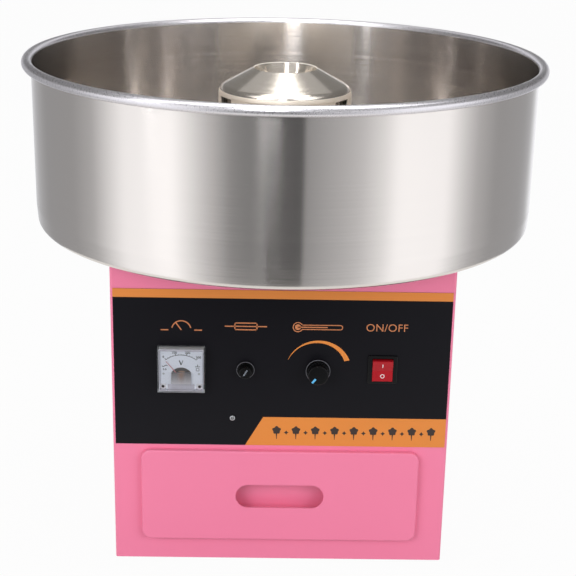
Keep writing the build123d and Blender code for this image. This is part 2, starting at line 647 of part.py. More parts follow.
def meter_case():
    """Black body behind the panel, with the flange that the dial stands on."""
    half = METER_SIZE / 2 - METER_WALL - PANEL_GAP
    back_y = FRONT_Y + METER_BARREL_DEPTH
    case = block(METER_X - half, METER_X + half, OVERLAY_Y - METER_FLANGE, OVERLAY_Y,
                 METER_Z - half, METER_Z + half)
    case += rod_y(METER_BARREL_R, OVERLAY_Y, back_y, METER_X, METER_Z)
    case -= rod_y(METER_BARREL_R - 1.5, OVERLAY_Y - 4, back_y - 1.5, METER_X, METER_Z)
    for s in (-1, 1):
        case += rod_y(2.0, back_y, back_y + 8.0, METER_X + s * 9.0, METER_Z)
    for (x, y, z), _ in METER_SCREWS:
        case -= rod_y(SMALL_SCREW_R + HOLE_PLAY, OVERLAY_Y - 4, OVERLAY_Y + 1, x, z)
    return case


def dial_window():
    """Half-moon opening in the dial over the movement."""
    moon = Pos(METER_X, PIVOT_Z) * Circle(WINDOW_R)
    return moon - Pos(METER_X, PIVOT_Z + WINDOW_SILL - WINDOW_R) * Rectangle(3 * WINDOW_R, 2 * WINDOW_R)


def meter_dial():
    """White dial plate on two posts of the case."""
    half = METER_SIZE / 2 - METER_WALL - PANEL_GAP - 1.0
    sketch = Pos(METER_X, METER_Z) * Rectangle(2 * half, 2 * half) - dial_window()
    dial = front_slab(sketch, DIAL_Y, DIAL_Y + 0.6)
    reach = SMALL_HEAD_R + LOOSE_FIT
    for (x, _, z), _ in METER_SCREWS:
        out = half if x > METER_X else -half
        dial -= block(*sorted((x - reach * out / half, METER_X + out)), DIAL_Y - 1, DIAL_Y + 2,
                      METER_Z - half, z + reach)
    dial -= rod_y(SPINDLE_R + 1.0, DIAL_Y - 1, DIAL_Y + 2, METER_X, PIVOT_Z)
    for s in (-1, 1):
        dial += block(METER_X + s * 15.5 - 1, METER_X + s * 15.5 + 1, DIAL_Y + 0.3, OVERLAY_Y - METER_FLANGE,
                      METER_Z + 14.0, METER_Z + 16.0)
    return dial


def meter_movement():
    """Moving-iron coil on its bracket, seen through the dial's window."""
    y0 = DIAL_Y + 1.2
    y1 = FRONT_Y + METER_BARREL_DEPTH - 1.5
    coil = rod_y(7.5, y0 + 2, y0 + 10, METER_X, PIVOT_Z) + rod_y(5.0, y0, y1, METER_X, PIVOT_Z)
    coil -= rod_y(SPINDLE_R + RUNNING_FIT, y0 - 1, y0 + 8.5, METER_X, PIVOT_Z)
    return coil


SPINDLE_R = 0.6


def meter_needle():
    """Pointer, hub and spindle, lying at zero on the left."""
    y1 = DIAL_Y - 0.5
    y0 = y1 - 0.5
    hub = rod_y(2.0, y0 - 0.5, y1, METER_X, PIVOT_Z)
    arm = Polygon((-NEEDLE_TAIL_HALF, -NEEDLE_TAIL), (NEEDLE_TAIL_HALF, -NEEDLE_TAIL),
                  (NEEDLE_TIP_HALF, NEEDLE_REACH), (-NEEDLE_TIP_HALF, NEEDLE_REACH), align=None)
    hub += front_slab(Pos(METER_X, PIVOT_Z) * Rot(0, 0, NEEDLE_REST) * arm, y0, y1)
    return hub + rod_y(SPINDLE_R, y0, DIAL_Y + 9.0, METER_X, PIVOT_Z)


# ---- Fuse holder ------------------------------------------------------------------------
FUSE_FACE_Y = OVERLAY_Y - 2.2
FUSE_BORE_R = 4.7
CARRIER_LENGTH = 26.0


def fuse_body():
    """Barrel with a round flange against the panel and two tags at the back."""
    back_y = OVERLAY_Y + FUSE_BARREL_LENGTH
    body = rod_y(FUSE_FLANGE_R, FUSE_FACE_Y, OVERLAY_Y, FUSE_X, CONTROL_Z)
    body = fillet(body.edges().group_by(Axis.Y)[0], 0.9)
    body += rod_y(FUSE_BARREL_R, OVERLAY_Y, back_y, FUSE_X, CONTROL_Z)
    body -= rod_y(FUSE_BORE_R, FUSE_FACE_Y - 1, back_y - 1.5, FUSE_X, CONTROL_Z)
    body += block(FUSE_X - 2.4, FUSE_X + 2.4, back_y, back_y + 9.0, CONTROL_Z - 0.4, CONTROL_Z + 0.4)
    return body


def panel_nuts():
    """Nuts of the fuse holder, behind the panel, and of the control, under its knob."""
    y = FRONT_Y + SHEET
    fuse = hexagon_y(FUSE_BARREL_R * 2.5, y, y + 4.0, FUSE_X, CONTROL_Z)
    fuse -= rod_y(FUSE_BARREL_R + RUNNING_FIT, y - 1, y + 5, FUSE_X, CONTROL_Z)
    pot = hexagon_y(12.0, OVERLAY_Y - 2.0, OVERLAY_Y, KNOB_X, CONTROL_Z)
    pot -= rod_y(POT_BUSH_R + RUNNING_FIT, OVERLAY_Y - 3, OVERLAY_Y + 1, KNOB_X, CONTROL_Z)
    return [fuse, pot]


def fuse_carrier():
    """Sleeve that grips the fuse and slides in the barrel."""
    y0 = FUSE_FACE_Y - 0.5
    sleeve = rod_y(FUSE_BORE_R - LOOSE_FIT, y0, y0 + CARRIER_LENGTH, FUSE_X, CONTROL_Z)
    return sleeve - rod_y(FUSE_LINK_R + RUNNING_FIT, y0 + 1.5, y0 + CARRIER_LENGTH + 1, FUSE_X, CONTROL_Z)


def fuse_link():
    """Glass cartridge fuse."""
    y0 = FUSE_FACE_Y + 1.0
    return rod_y(FUSE_LINK_R, y0, y0 + FUSE_LINK_LENGTH - 4.0, FUSE_X, CONTROL_Z)


def fuse_cap():
    """Bayonet cap with a ribbed grip and a coin slot."""
    y1 = FUSE_FACE_Y - 0.5
    cap = rod_y(FUSE_CAP_R, y1 - FUSE_CAP_LENGTH, y1, FUSE_X, CONTROL_Z)
    cap = fillet(cap.edges().group_by(Axis.Y)[0], 0.8)
    for x, z, _ in around(12, FUSE_CAP_R + 0.5):
        cap -= rod_y(0.9, y1 - FUSE_CAP_LENGTH - 1, y1 - 1.5, FUSE_X + x, CONTROL_Z + z)
    slot = Box(COIN_SLOT_LENGTH, 2 * COIN_SLOT_DEPTH, COIN_SLOT_WIDTH)
    return cap - Pos(FUSE_X, y1 - FUSE_CAP_LENGTH, CONTROL_Z) * Rot(0, -COIN_SLOT_TURN, 0) * slot


# ---- Temperature control ----------------------------------------------------------------
KNOB_BACK_Y = OVERLAY_Y - 0.4
POT_SHAFT_R = 3.0


def pot_body():
    """Rotary control behind the panel, with its threaded bush and three tags."""
    y0 = FRONT_Y + SHEET
    body = rod_y(POT_R, y0, y0 + 9.0, KNOB_X, CONTROL_Z)
    body += rod_y(POT_BUSH_R, OVERLAY_Y - 3.4, y0, KNOB_X, CONTROL_Z)
    body -= rod_y(POT_SHAFT_R + RUNNING_FIT, OVERLAY_Y - 5, y0 + 6, KNOB_X, CONTROL_Z)
    for x in (-5.0, 0.0, 5.0):
        body += block(KNOB_X + x - 1, KNOB_X + x + 1, y0 + 3, y0 + 4,
                      CONTROL_Z - POT_R - 6, CONTROL_Z - POT_R + 2)
    return body


def pot_shaft():
    """Shaft that the knob is pushed onto."""
    return rod_y(POT_SHAFT_R, KNOB_BACK_Y - KNOB_LENGTH + 3.0, FRONT_Y + SHEET + 5.7, KNOB_X, CONTROL_Z)


def control_knob():
    """Skirted knob with a fluted grip."""
    y1 = KNOB_BACK_Y
    y0 = y1 - KNOB_LENGTH
    frame = Pos(KNOB_X, y1, CONTROL_Z) * Rot(90, 0, 0)
    body = frame * Pos(0, 0, 2.4) * Cone(KNOB_BODY_R, KNOB_FACE_R, KNOB_LENGTH - 2.4,
                                         align=(Align.CENTER, Align.CENTER, Align.MIN))
    body = fillet(body.edges().group_by(Axis.Y)[0], 0.9)
    for x, z, _ in around(KNOB_FLUTES, KNOB_BODY_R + 0.55):
        body -= rod_y(0.95, y0 - 1, y1 - 3.2, KNOB_X + x, CONTROL_Z + z)
    skirt = rod_y(KNOB_SKIRT_R, y1 - 2.4, y1, KNOB_X, CONTROL_Z)
    body += fillet(skirt.edges().group_by(Axis.Y)[0], 1.0)
    body -= rod_y(7.6, y1 - 4.0, y1 + 1, KNOB_X, CONTROL_Z)
    body -= rod_y(POT_SHAFT_R, y0 + 3.0, y1 + 1, KNOB_X, CONTROL_Z)
    return body


# ---- Rocker switch ----------------------------------------------------------------------
ROCKER_Y = OVERLAY_Y + 1.0


def switch_body():
    """Bezel and case, with the well that the rocker swings in."""
    bezel = Pos(SWITCH_X, SWITCH_Z) * RectangleRounded(SWITCH_BEZEL, SWITCH_BEZEL, 1.5)
    body = front_slab(bezel, OVERLAY_Y - SWITCH_BEZEL_PROUD, OVERLAY_Y)
    body = fillet(body.edges().group_by(Axis.Y)[0], 0.8)
    body += block(SWITCH_X - SWITCH_CUT_W / 2, SWITCH_X + SWITCH_CUT_W / 2,
                  OVERLAY_Y, OVERLAY_Y + SWITCH_DEPTH,
                  SWITCH_Z - SWITCH_CUT_H / 2, SWITCH_Z + SWITCH_CUT_H / 2)
    body -= block(SWITCH_X - ROCKER_WIDTH / 2 - LOOSE_FIT, SWITCH_X + ROCKER_WIDTH / 2 + LOOSE_FIT,
                  OVERLAY_Y - 5, OVERLAY_Y + 10, SWITCH_Z - ROCKER_HEIGHT / 2 - 1.0,
                  SWITCH_Z + ROCKER_HEIGHT / 2 + 1.0)
    pin_reach = ROCKER_WIDTH / 2 + 1.4
    body -= rod_x(ROCKER_PIN_R + RUNNING_FIT, SWITCH_X - pin_reach, SWITCH_X + pin_reach, ROCKER_Y, SWITCH_Z)
    for x in (-6.0, 6.0):
        for z in (-7.0, 7.0):
            body += block(SWITCH_X + x - 0.4, SWITCH_X + x + 0.4, OVERLAY_Y + SWITCH_DEPTH,
                          OVERLAY_Y + SWITCH_DEPTH + 8, SWITCH_Z + z - 2.4, SWITCH_Z + z + 2.4)
    return body


ROCKER_PIN_R = 1.5


def switch_rocker():
    """Rocker with a shallow V face, off at rest with its lower end pressed in."""
    half = ROCKER_HEIGHT / 2
    profile = Polygon((5.0, half), (3.4, 0), (5.0, -half), (-2.0, -half + 1), (-4.0, -3), (-4.0, 3),
                      (-2.0, half - 1), align=None)
    side = Plane(origin=(SWITCH_X, ROCKER_Y, SWITCH_Z), x_dir=(0, -1, 0), z_dir=(-1, 0, 0))
    key = extrude(side * Rot(0, 0, -ROCKER_THROW / 2) * profile, ROCKER_WIDTH / 2, both=True)
    key = fillet(key.edges().filter_by(Axis.X).group_by(Axis.Y)[0], 0.6)
    return key + rod_x(ROCKER_PIN_R, SWITCH_X - ROCKER_WIDTH / 2 - 1.2, SWITCH_X + ROCKER_WIDTH / 2 + 1.2,
                       ROCKER_Y, SWITCH_Z)


# ---- Spinner head -----------------------------------------------------------------------
BASE_DISC_Z = 412.0
BASE_DISC = 3.0
HUB_R = 14.0
HUB_TOP_Z = 430.0
CLAMP_R = 42.0
CLAMP_START = 45.0         # degrees, clear of the leads along X and of the insulators


def cone_height(radius):
    """Height of the cover's outer cone at a radius."""
    return HEAD_SHOULDER_Z + (HEAD_R - radius) / (HEAD_R - HEAD_MOUTH_R) * (HEAD_TOP_Z - HEAD_SHOULDER_Z)


def spinner_cover():
    """Spun cover: a cone with an open mouth over a skirt with three notches."""
    t = HEAD_SHEET
    outside = FilletPolyline((HEAD_R, HEAD_SKIRT_Z), (HEAD_R, HEAD_SHOULDER_Z), (HEAD_MOUTH_R, HEAD_TOP_Z),
                             radius=HEAD_SHOULDER_R)
    inside = FilletPolyline((HEAD_R - t, HEAD_SKIRT_Z), (HEAD_R - t, HEAD_SHOULDER_Z - 0.6 * t),
                            (HEAD_MOUTH_R, HEAD_TOP_Z - 1.1 * t), radius=HEAD_SHOULDER_R - t)
    section = make_face([*outside.edges(), *inside.edges(), *Line(outside @ 0, inside @ 0).edges(),
                         *Line(outside @ 1, inside @ 1).edges()])
    cover = revolve(Plane.XZ * section, Axis.Z)
    for i in range(HEAD_NOTCHES):
        notch = block(HEAD_R - 8, HEAD_R + 4, -HEAD_NOTCH_WIDTH / 2, HEAD_NOTCH_WIDTH / 2,
                      HEAD_SKIRT_Z - 1, HEAD_SHOULDER_Z - HEAD_SHOULDER_R + 1)
        cover -= Rot(0, 0, HEAD_NOTCH_START + 360 / HEAD_NOTCHES * i) * notch
    for x, y, _ in around(3, CLAMP_R, CLAMP_START):
        top = cone_height(CLAMP_R + 4)
        boss = rod(4.0, BAND_TOP_Z, top - 0.7, x, y)
        boss -= rod(SCREW_R + RUNNING_FIT, BAND_TOP_Z - 1, top - 6, x, y)
        cover += boss
    return cover


BAND_BOTTOM_Z = BASE_DISC_Z + BASE_DISC
BAND_TOP_Z = 452.0


def floss_band():
    """Slotted band that the melted sugar is thrown through."""
    band = ring(BAND_R, BAND_R - 0.8, BAND_BOTTOM_Z, BAND_TOP_Z)
    slot = block(BAND_R - 3, BAND_R + 2, -1.2, 1.2, BAND_BOTTOM_Z + 8, BAND_TOP_Z - 4)
    slots = [Rot(0, 0, 360 / BAND_SLOTS * i) * slot for i in range(BAND_SLOTS)]
    return band - slots


def spinner_base():
    """Cast pan with the hub that is bored for the shaft."""
    base = rod(BAND_R - 1.0, BASE_DISC_Z, BASE_DISC_Z + BASE_DISC) + rod(HUB_R, BASE_DISC_Z - 10, HUB_TOP_Z)
    base += ring(BAND_R + 2.0, BAND_R - 2.8, BASE_DISC_Z, BAND_BOTTOM_Z)
    base += ring(BAND_R - 0.8, BAND_R - 2.8, BAND_BOTTOM_Z, BAND_BOTTOM_Z + 6)
    base -= rod(SHAFT_R + 0.02, BASE_DISC_Z - 20, HUB_TOP_Z + 5)
    base -= rod_x(LEAD_R + 0.6, -HUB_R - 5, HUB_R + 5, 0, LEAD_OUT_Z)
    for x, y, _ in around(3, CLAMP_R, CLAMP_START):
        base -= rod(SCREW_R + HOLE_PLAY, BASE_DISC_Z - 5, BASE_DISC_Z + 10, x, y)
    for x, y, _ in around(2, LEAD_REACH):
        base -= rod(LEAD_R + 0.5, BASE_DISC_Z - 5, BASE_DISC_Z + 10, x, y)
    return base


LEAD_R = 0.9
LEAD_REACH = 22.0
LEAD_OUT_Z = BASE_DISC_Z - 6.0


def heater_element():
    """Two coiled element rings, one over the other."""
    return [Pos(0, 0, z) * Torus(HEATER_R, HEATER_COIL_R) for z in (BASE_DISC_Z + 15, BASE_DISC_Z + 27)]


def heater_leads():
    """Leads from the slip rings, up the hollow shaft and out to the element."""
    leads = []
    ring_low, ring_high = slip_ring_heights()
    element_z = BASE_DISC_Z + 15
    for s, z0 in ((-1, ring_low), (1, ring_high)):
        inner = s * (LEAD_R + 0.15)
        reach = s * LEAD_REACH
        end = s * (HEATER_R - HEATER_COIL_R)
        points = [(inner, 0, z0), (inner, 0, LEAD_OUT_Z), (reach, 0, LEAD_OUT_Z), (reach, 0, element_z),
                  (end, 0, element_z)]
        leads.append(wire(points, LEAD_R, 2.0))
    return leads


def heater_insulators():
    """Ceramic posts that carry the element."""
    posts = []
    for x, y, _ in around(6, HEATER_R - HEATER_COIL_R - 3.0 - RUNNING_FIT, 30):
        posts.append(rod(3.0, BASE_DISC_Z + BASE_DISC, BASE_DISC_Z + 32, x, y))
    return posts


def sugar_cup():
    """Cup under the cover's mouth that throws the sugar outward through its slots."""
    z0 = HUB_TOP_Z
    floor_z = z0 + 1.2
    edge_z = HEAD_TOP_Z - CUP_BELOW_MOUTH
    bore = SHAFT_R + RUNNING_FIT
    cup = turned_polygon((bore, z0), (CUP_FOOT_R, z0), (CUP_MOUTH_R, edge_z), (CUP_MOUTH_R - 1, edge_z),
                         (CUP_FOOT_R - 0.8, floor_z), (bore, floor_z))
    for x, y, angle in around(8, CUP_FOOT_R + 1.0):
        cup -= Pos(x, y, z0 + 5) * Rot(0, 0, angle) * Box(8, 3, 5)
    return cup


def spinner_screws():
    """Three long screws that clamp the cover to the base, and the shaft's nut."""
    pieces = []
    for x, y, _ in around(3, CLAMP_R, CLAMP_START):
        pieces.append(rod(SCREW_HEAD_R, BASE_DISC_Z - 3, BASE_DISC_Z, x, y)
                      + rod(SCREW_R, BASE_DISC_Z, BAND_TOP_Z + 8, x, y))
    nut_z = HUB_TOP_Z + 1.2
    pieces.append(hexagon_z(19.0, nut_z, nut_z + 8, 0, 0) - rod(SHAFT_R + RUNNING_FIT, nut_z - 1, nut_z + 9))
    return pieces


# ---- Shaft and slip rings ---------------------------------------------------------------
FAN_TOP_Z = MOTOR_BOTTOM_Z - 3.0
FAN_HEIGHT = 12.0
SLEEVE_BOTTOM_Z = PLATE_TOP_Z + 17.0
SLEEVE_R = 12.0
RING_R = 16.0
RING_HEIGHT = 6.0
RING_GAP = 6.0


def slip_ring_heights():
    """Middle heights of the two slip rings."""
    first = SLEEVE_BOTTOM_Z + 3.0 + RING_HEIGHT / 2
    return first, first + RING_HEIGHT + RING_GAP


def motor_shaft():
    """Shaft from the fan to the spinner's nut, bored for the element's leads."""
    shaft = rod(SHAFT_R, FAN_TOP_Z - FAN_HEIGHT - 1, HUB_TOP_Z + 10)
    shaft -= rod(SHAFT_BORE_R, SLEEVE_BOTTOM_Z, LEAD_OUT_Z + LEAD_R + 0.6)
    return shaft - rod_x(LEAD_R + 0.6, -SHAFT_R - 1, SHAFT_R + 1, 0, LEAD_OUT_Z)


def ring_insulator():
    """Insulating sleeve pressed on the shaft under the slip rings."""
    top = slip_ring_heights()[1] + RING_HEIGHT / 2 + 3.0
    return ring(SLEEVE_R, SHAFT_R + 0.02, SLEEVE_BOTTOM_Z, top)


def slip_rings():
    """Two brass rings on the sleeve."""
    half = RING_HEIGHT / 2
    return [ring(RING_R, SLEEVE_R + 0.02, z - half, z + half) for z in slip_ring_heights()]


def cooling_fan():
    """Fan on the shaft's lower end."""
    z0 = FAN_TOP_Z - FAN_HEIGHT
    fan = rod(9.0, z0, FAN_TOP_Z) + rod(FAN_R - 6, FAN_TOP_Z - 2, FAN_TOP_Z)
    blade = Rot(25, 0, 0) * Box(FAN_R - 8.0, 1.5, FAN_HEIGHT - 1)
    blade = Pos((8.0 + FAN_R) / 2, 0, z0 + FAN_HEIGHT / 2) * blade
    for i in range(FAN_BLADES):
        fan += Rot(0, 0, 360 / FAN_BLADES * i) * blade
    return fan - rod(SHAFT_R + 0.02, z0 - 2, FAN_TOP_Z + 2)


# ---- Motor ------------------------------------------------------------------------------
BOLT_CIRCLE_R = BELL_R + 4.0
MOTOR_BOLT_R = 2.0
MOTOR_BOLTS = around(4, BOLT_CIRCLE_R, 45)


def end_bell(upper):
    """Cast bell over the stator's end, with its bearing seat, air slots and bolt ears."""
    depth = BELL_DEPTH
    bell = rod(BELL_R, 0, depth) - rod(BELL_R - 5, -1, depth - 4)
    bell += rod(BEARING_R + 4, depth - 2 - BEARING_WIDTH, depth)
    bell -= rod(BEARING_R, depth - 2 - BEARING_WIDTH - 1, depth - 2) + rod(SHAFT_R + 2, 0, depth + 1)
    for i in range(8):
        bell -= Rot(0, 0, 22.5 + 45 * i) * block(BELL_R - 8, BELL_R + 2, -6, 6, 6, depth - 8)
    for x, y, _ in MOTOR_BOLTS:
        bell += rod(5.0, depth - 12, depth, x, y) - rod(BELL_R - 2, 0, depth + 1)
    for x, y, _ in MOTOR_BOLTS:
        bell -= rod(MOTOR_BOLT_R + HOLE_PLAY, -1, depth + 1, x, y)
    if upper:
        return Pos(0, 0, STATOR_TOP_Z) * bell
    return Pos(0, 0, STATOR_BOTTOM_Z) * mirror(bell, Plane.XY)


def stator_core():
    """Laminated stator ring."""
    core = ring(STATOR_R, ROTOR_R + AIR_GAP, STATOR_BOTTOM_Z, STATOR_TOP_Z)
    slot = block(ROTOR_R - 1, ROTOR_R + 12, -2.0, 2.0, STATOR_BOTTOM_Z - 1, STATOR_TOP_Z + 1)
    return core - [Rot(0, 0, 30 * i) * slot for i in range(12)]


def stator_windings():
    """Ends of the copper windings above and below the core."""
    low = ring(STATOR_R - 6, ROTOR_R + 3, STATOR_BOTTOM_Z - 12, STATOR_BOTTOM_Z)
    high = ring(STATOR_R - 6, ROTOR_R + 3, STATOR_TOP_Z, STATOR_TOP_Z + 12)
    low = fillet(low.edges().group_by(Axis.Z)[0], 4)
    high = fillet(high.edges().group_by(Axis.Z)[-1], 4)
    return [low, high]


def motor_bearings():
    """Ball bearings in the two bells, drawn as closed rings."""
    low = MOTOR_BOTTOM_Z + 2
    high = MOTOR_TOP_Z - 2 - BEARING_WIDTH
    return [ring(BEARING_R - 0.02, SHAFT_R + RUNNING_FIT, z, z + BEARING_WIDTH) for z in (low, high)]


def rotor():
    """Laminated rotor on the shaft."""
    return ring(ROTOR_R, SHAFT_R + 0.02, STATOR_BOTTOM_Z - 3, STATOR_TOP_Z + 3)


def motor_plate():
    """Plate that the motor hangs from."""
    plate = block(-POST_X - 12, POST_X + 12, -POST_Y - 12, POST_Y + 12, MOTOR_TOP_Z, PLATE_TOP_Z)
    plate -= rod(SHAFT_R + 8, MOTOR_TOP_Z - 1, PLATE_TOP_Z + 1)
    for x, y, _ in MOTOR_BOLTS:
        plate -= rod(MOTOR_BOLT_R + HOLE_PLAY, MOTOR_TOP_Z - 1, PLATE_TOP_Z + 1, x, y)
    for sx, sy in CORNERS:
        plate -= rod(POST_STUD_R + HOLE_PLAY, MOTOR_TOP_Z - 1, PLATE_TOP_Z + 1, sx * POST_X, sy * POST_Y)
    return plate


POST_STUD_R = 3.0
ISOLATOR = 8.0


def motor_bolts():
    """Long bolts through both bells and the plate, and the nuts under the plate's corners."""
    pieces = []
    for x, y, _ in MOTOR_BOLTS:
        bolt = rod(MOTOR_BOLT_R, MOTOR_BOTTOM_Z, PLATE_TOP_Z, x, y)
        bolt += rod(3.8, PLATE_TOP_Z, PLATE_TOP_Z + 3, x, y)
        bolt += rod(3.8, MOTOR_BOTTOM_Z - 3, MOTOR_BOTTOM_Z, x, y)
        pieces.append(bolt)
    for sx, sy in CORNERS:
        x, y = sx * POST_X, sy * POST_Y
        nut = hexagon_z(10.0, MOTOR_TOP_Z - 5, MOTOR_TOP_Z, x, y)
        pieces.append(nut - rod(POST_STUD_R + RUNNING_FIT, MOTOR_TOP_Z - 6, MOTOR_TOP_Z + 1, x, y))
    return pieces


def isolators():
    """Rubber rings between the posts and the motor plate."""
    z1 = PLATE_TOP_Z + ISOLATOR
    return [ring(POST_R + 4, POST_STUD_R + RUNNING_FIT, PLATE_TOP_Z, z1, sx * POST_X, sy * POST_Y)
            for sx, sy in CORNERS]


def hanger_posts():
    """Posts under the cabinet's top, tapped for its screws, with a stud for the motor plate."""
    pieces = []
    for sx, sy in CORNERS:
        x, y = sx * POST_X, sy * POST_Y
        post = rod(POST_R, PLATE_TOP_Z + ISOLATOR, TOP_Z - SHEET, x, y)
        post += rod(POST_STUD_R, MOTOR_TOP_Z - 8, PLATE_TOP_Z + ISOLATOR, x, y)
        pieces.append(post - rod(SCREW_R + RUNNING_FIT, TOP_Z - 12, TOP_Z, x, y))
    return pieces


# ---- Brushes ----------------------------------------------------------------------------
BRUSH_W = 8.0
BRUSH_H = 5.0
BRUSH_LENGTH = 16.0
HOLDER_X0 = RING_R + 6.0
HOLDER_X1 = HOLDER_X0 + 26.0


def brush_holder():
    """Insulating block on a foot, with a channel for each brush."""
    top = slip_ring_heights()[1] + 8.0
    holder = block(HOLDER_X0, HOLDER_X1, -9, 9, PLATE_TOP_Z + 8, top)
    holder += block(HOLDER_X0 + 4, HOLDER_X1, -7, 7, PLATE_TOP_Z, PLATE_TOP_Z + 8)
    for z in slip_ring_heights():
        holder -= block(HOLDER_X0 - 1, HOLDER_X1 - 2, -BRUSH_W / 2 - RUNNING_FIT, BRUSH_W / 2 + RUNNING_FIT,
                        z - BRUSH_H / 2 - RUNNING_FIT, z + BRUSH_H / 2 + RUNNING_FIT)
    return holder


def brushes():
    """Carbon brushes, one on each slip ring, with their springs drawn as plain sleeves."""
    x0 = RING_R + LOOSE_FIT
    x1 = x0 + BRUSH_LENGTH
    pieces = []
    for z in slip_ring_heights():
        pieces.append(block(x0, x1, -BRUSH_W / 2, BRUSH_W / 2, z - BRUSH_H / 2, z + BRUSH_H / 2))
        pieces.append(rod_x(2.2, x1, HOLDER_X1 - 2, 0, z) - rod_x(1.5, x1 - 1, HOLDER_X1, 0, z))
    return pieces


# ---- Mains inlet and wiring -------------------------------------------------------------
INLET_BODY_W = 28.0
INLET_BODY_H = 20.0
INLET_DEPTH = 24.0
INLET_SOCKET_W = 24.0
INLET_SOCKET_H = 16.4
INLET_SOCKET_DEPTH = 17.0
INLET_PINS = [(-7.0, -2.0), (7.0, -2.0), (0.0, 2.0)]
INLET_PIN_RECESS = 5.5     # pins' ends behind the flange's face


def power_inlet():
    """Three-pin appliance inlet outside the back panel, and its pins, which run through to tags."""
    y_face = BACK_Y + INLET_FLANGE
    flange = Pos(INLET_X, INLET_Z) * RectangleRounded(INLET_FLANGE_W, INLET_FLANGE_H, 6)
    inlet = front_slab(flange, BACK_Y, y_face)
    inlet += block(INLET_X - INLET_BODY_W / 2, INLET_X + INLET_BODY_W / 2, BACK_Y - INLET_DEPTH, BACK_Y,
                   INLET_Z - INLET_BODY_H / 2, INLET_Z + INLET_BODY_H / 2)
    socket = RectangleRounded(INLET_SOCKET_W, INLET_SOCKET_H, 2)
    inlet -= front_slab(Pos(INLET_X, INLET_Z) * socket, y_face - INLET_SOCKET_DEPTH, y_face + 1)
    pins = [block(INLET_X + x - 1, INLET_X + x + 1, BACK_Y - INLET_DEPTH - 7, y_face - INLET_PIN_RECESS,
                  INLET_Z + z - 2, INLET_Z + z + 2) for x, z in INLET_PINS]
    for pin in pins:
        inlet -= pin
    return [drill(inlet, INLET_SCREWS, SMALL_SCREW_R + HOLE_PLAY), *pins]


BOARD_X = 112.0
BOARD_Y = 96.0
BOARD_W = 76.0
BOARD_D = 70.0
BOARD_LIFT = 6.0
BOARD = 1.6
BOARD_SCREW_R = 1.5
BOARD_POSTS = [(BOARD_X + sx * (BOARD_W / 2 - 4), BOARD_Y + sy * (BOARD_D / 2 - 4)) for sx, sy in CORNERS]
BLOCK_X = -112.0
BLOCK_Y = 60.0


def dimmer_board():
    """Heat-control board on four posts, with its parts and the heat sink of its triac."""
    z0 = SHELF_Z + BOARD_LIFT
    z1 = z0 + BOARD
    board = block(BOARD_X - BOARD_W / 2, BOARD_X + BOARD_W / 2,
                  BOARD_Y - BOARD_D / 2, BOARD_Y + BOARD_D / 2, z0, z1)
    for x, y in BOARD_POSTS:
        board += rod(3.0, SHELF_Z, z0, x, y) + rod(BOARD_SCREW_R, SHELF_Z - SHEET, SHELF_Z, x, y)
    board += rod(8.0, z1, z1 + 18, BOARD_X - 22, BOARD_Y + 18)
    board += rod(5.0, z1, z1 + 12, BOARD_X - 22, BOARD_Y - 4)
    board += block(BOARD_X - 34, BOARD_X - 10, BOARD_Y - 32, BOARD_Y - 22, z1, z1 + 10)
    board += ring(10.0, 4.5, z1, z1 + 7, BOARD_X + 2, BOARD_Y - 20)
    board += block(HEAT_SINK_X - 6, HEAT_SINK_X, BOARD_Y - 5, BOARD_Y + 5, z1, z1 + 18)
    return [board, heat_sink()]


HEAT_SINK_X = BOARD_X + 12.0


def heat_sink():
    """Finned aluminium block that cools the triac."""
    z0 = SHELF_Z + BOARD_LIFT + BOARD
    sink = block(HEAT_SINK_X, HEAT_SINK_X + 4, BOARD_Y - 20, BOARD_Y + 20, z0, z0 + 30)
    for i in range(7):
        y = BOARD_Y - 18 + 6 * i
        sink += block(HEAT_SINK_X + 4, HEAT_SINK_X + 18, y - 1, y + 1, z0, z0 + 30)
    return sink


def terminal_block():
    """Row of four screw terminals on the shelf."""
    body = block(BLOCK_X - 22, BLOCK_X + 22, BLOCK_Y - 9, BLOCK_Y + 9, SHELF_Z, SHELF_Z + 16)
    for i in range(4):
        x = BLOCK_X - 16.5 + 11 * i
        body -= rod(3.0, SHELF_Z + 9, SHELF_Z + 17, x, BLOCK_Y)
    return body


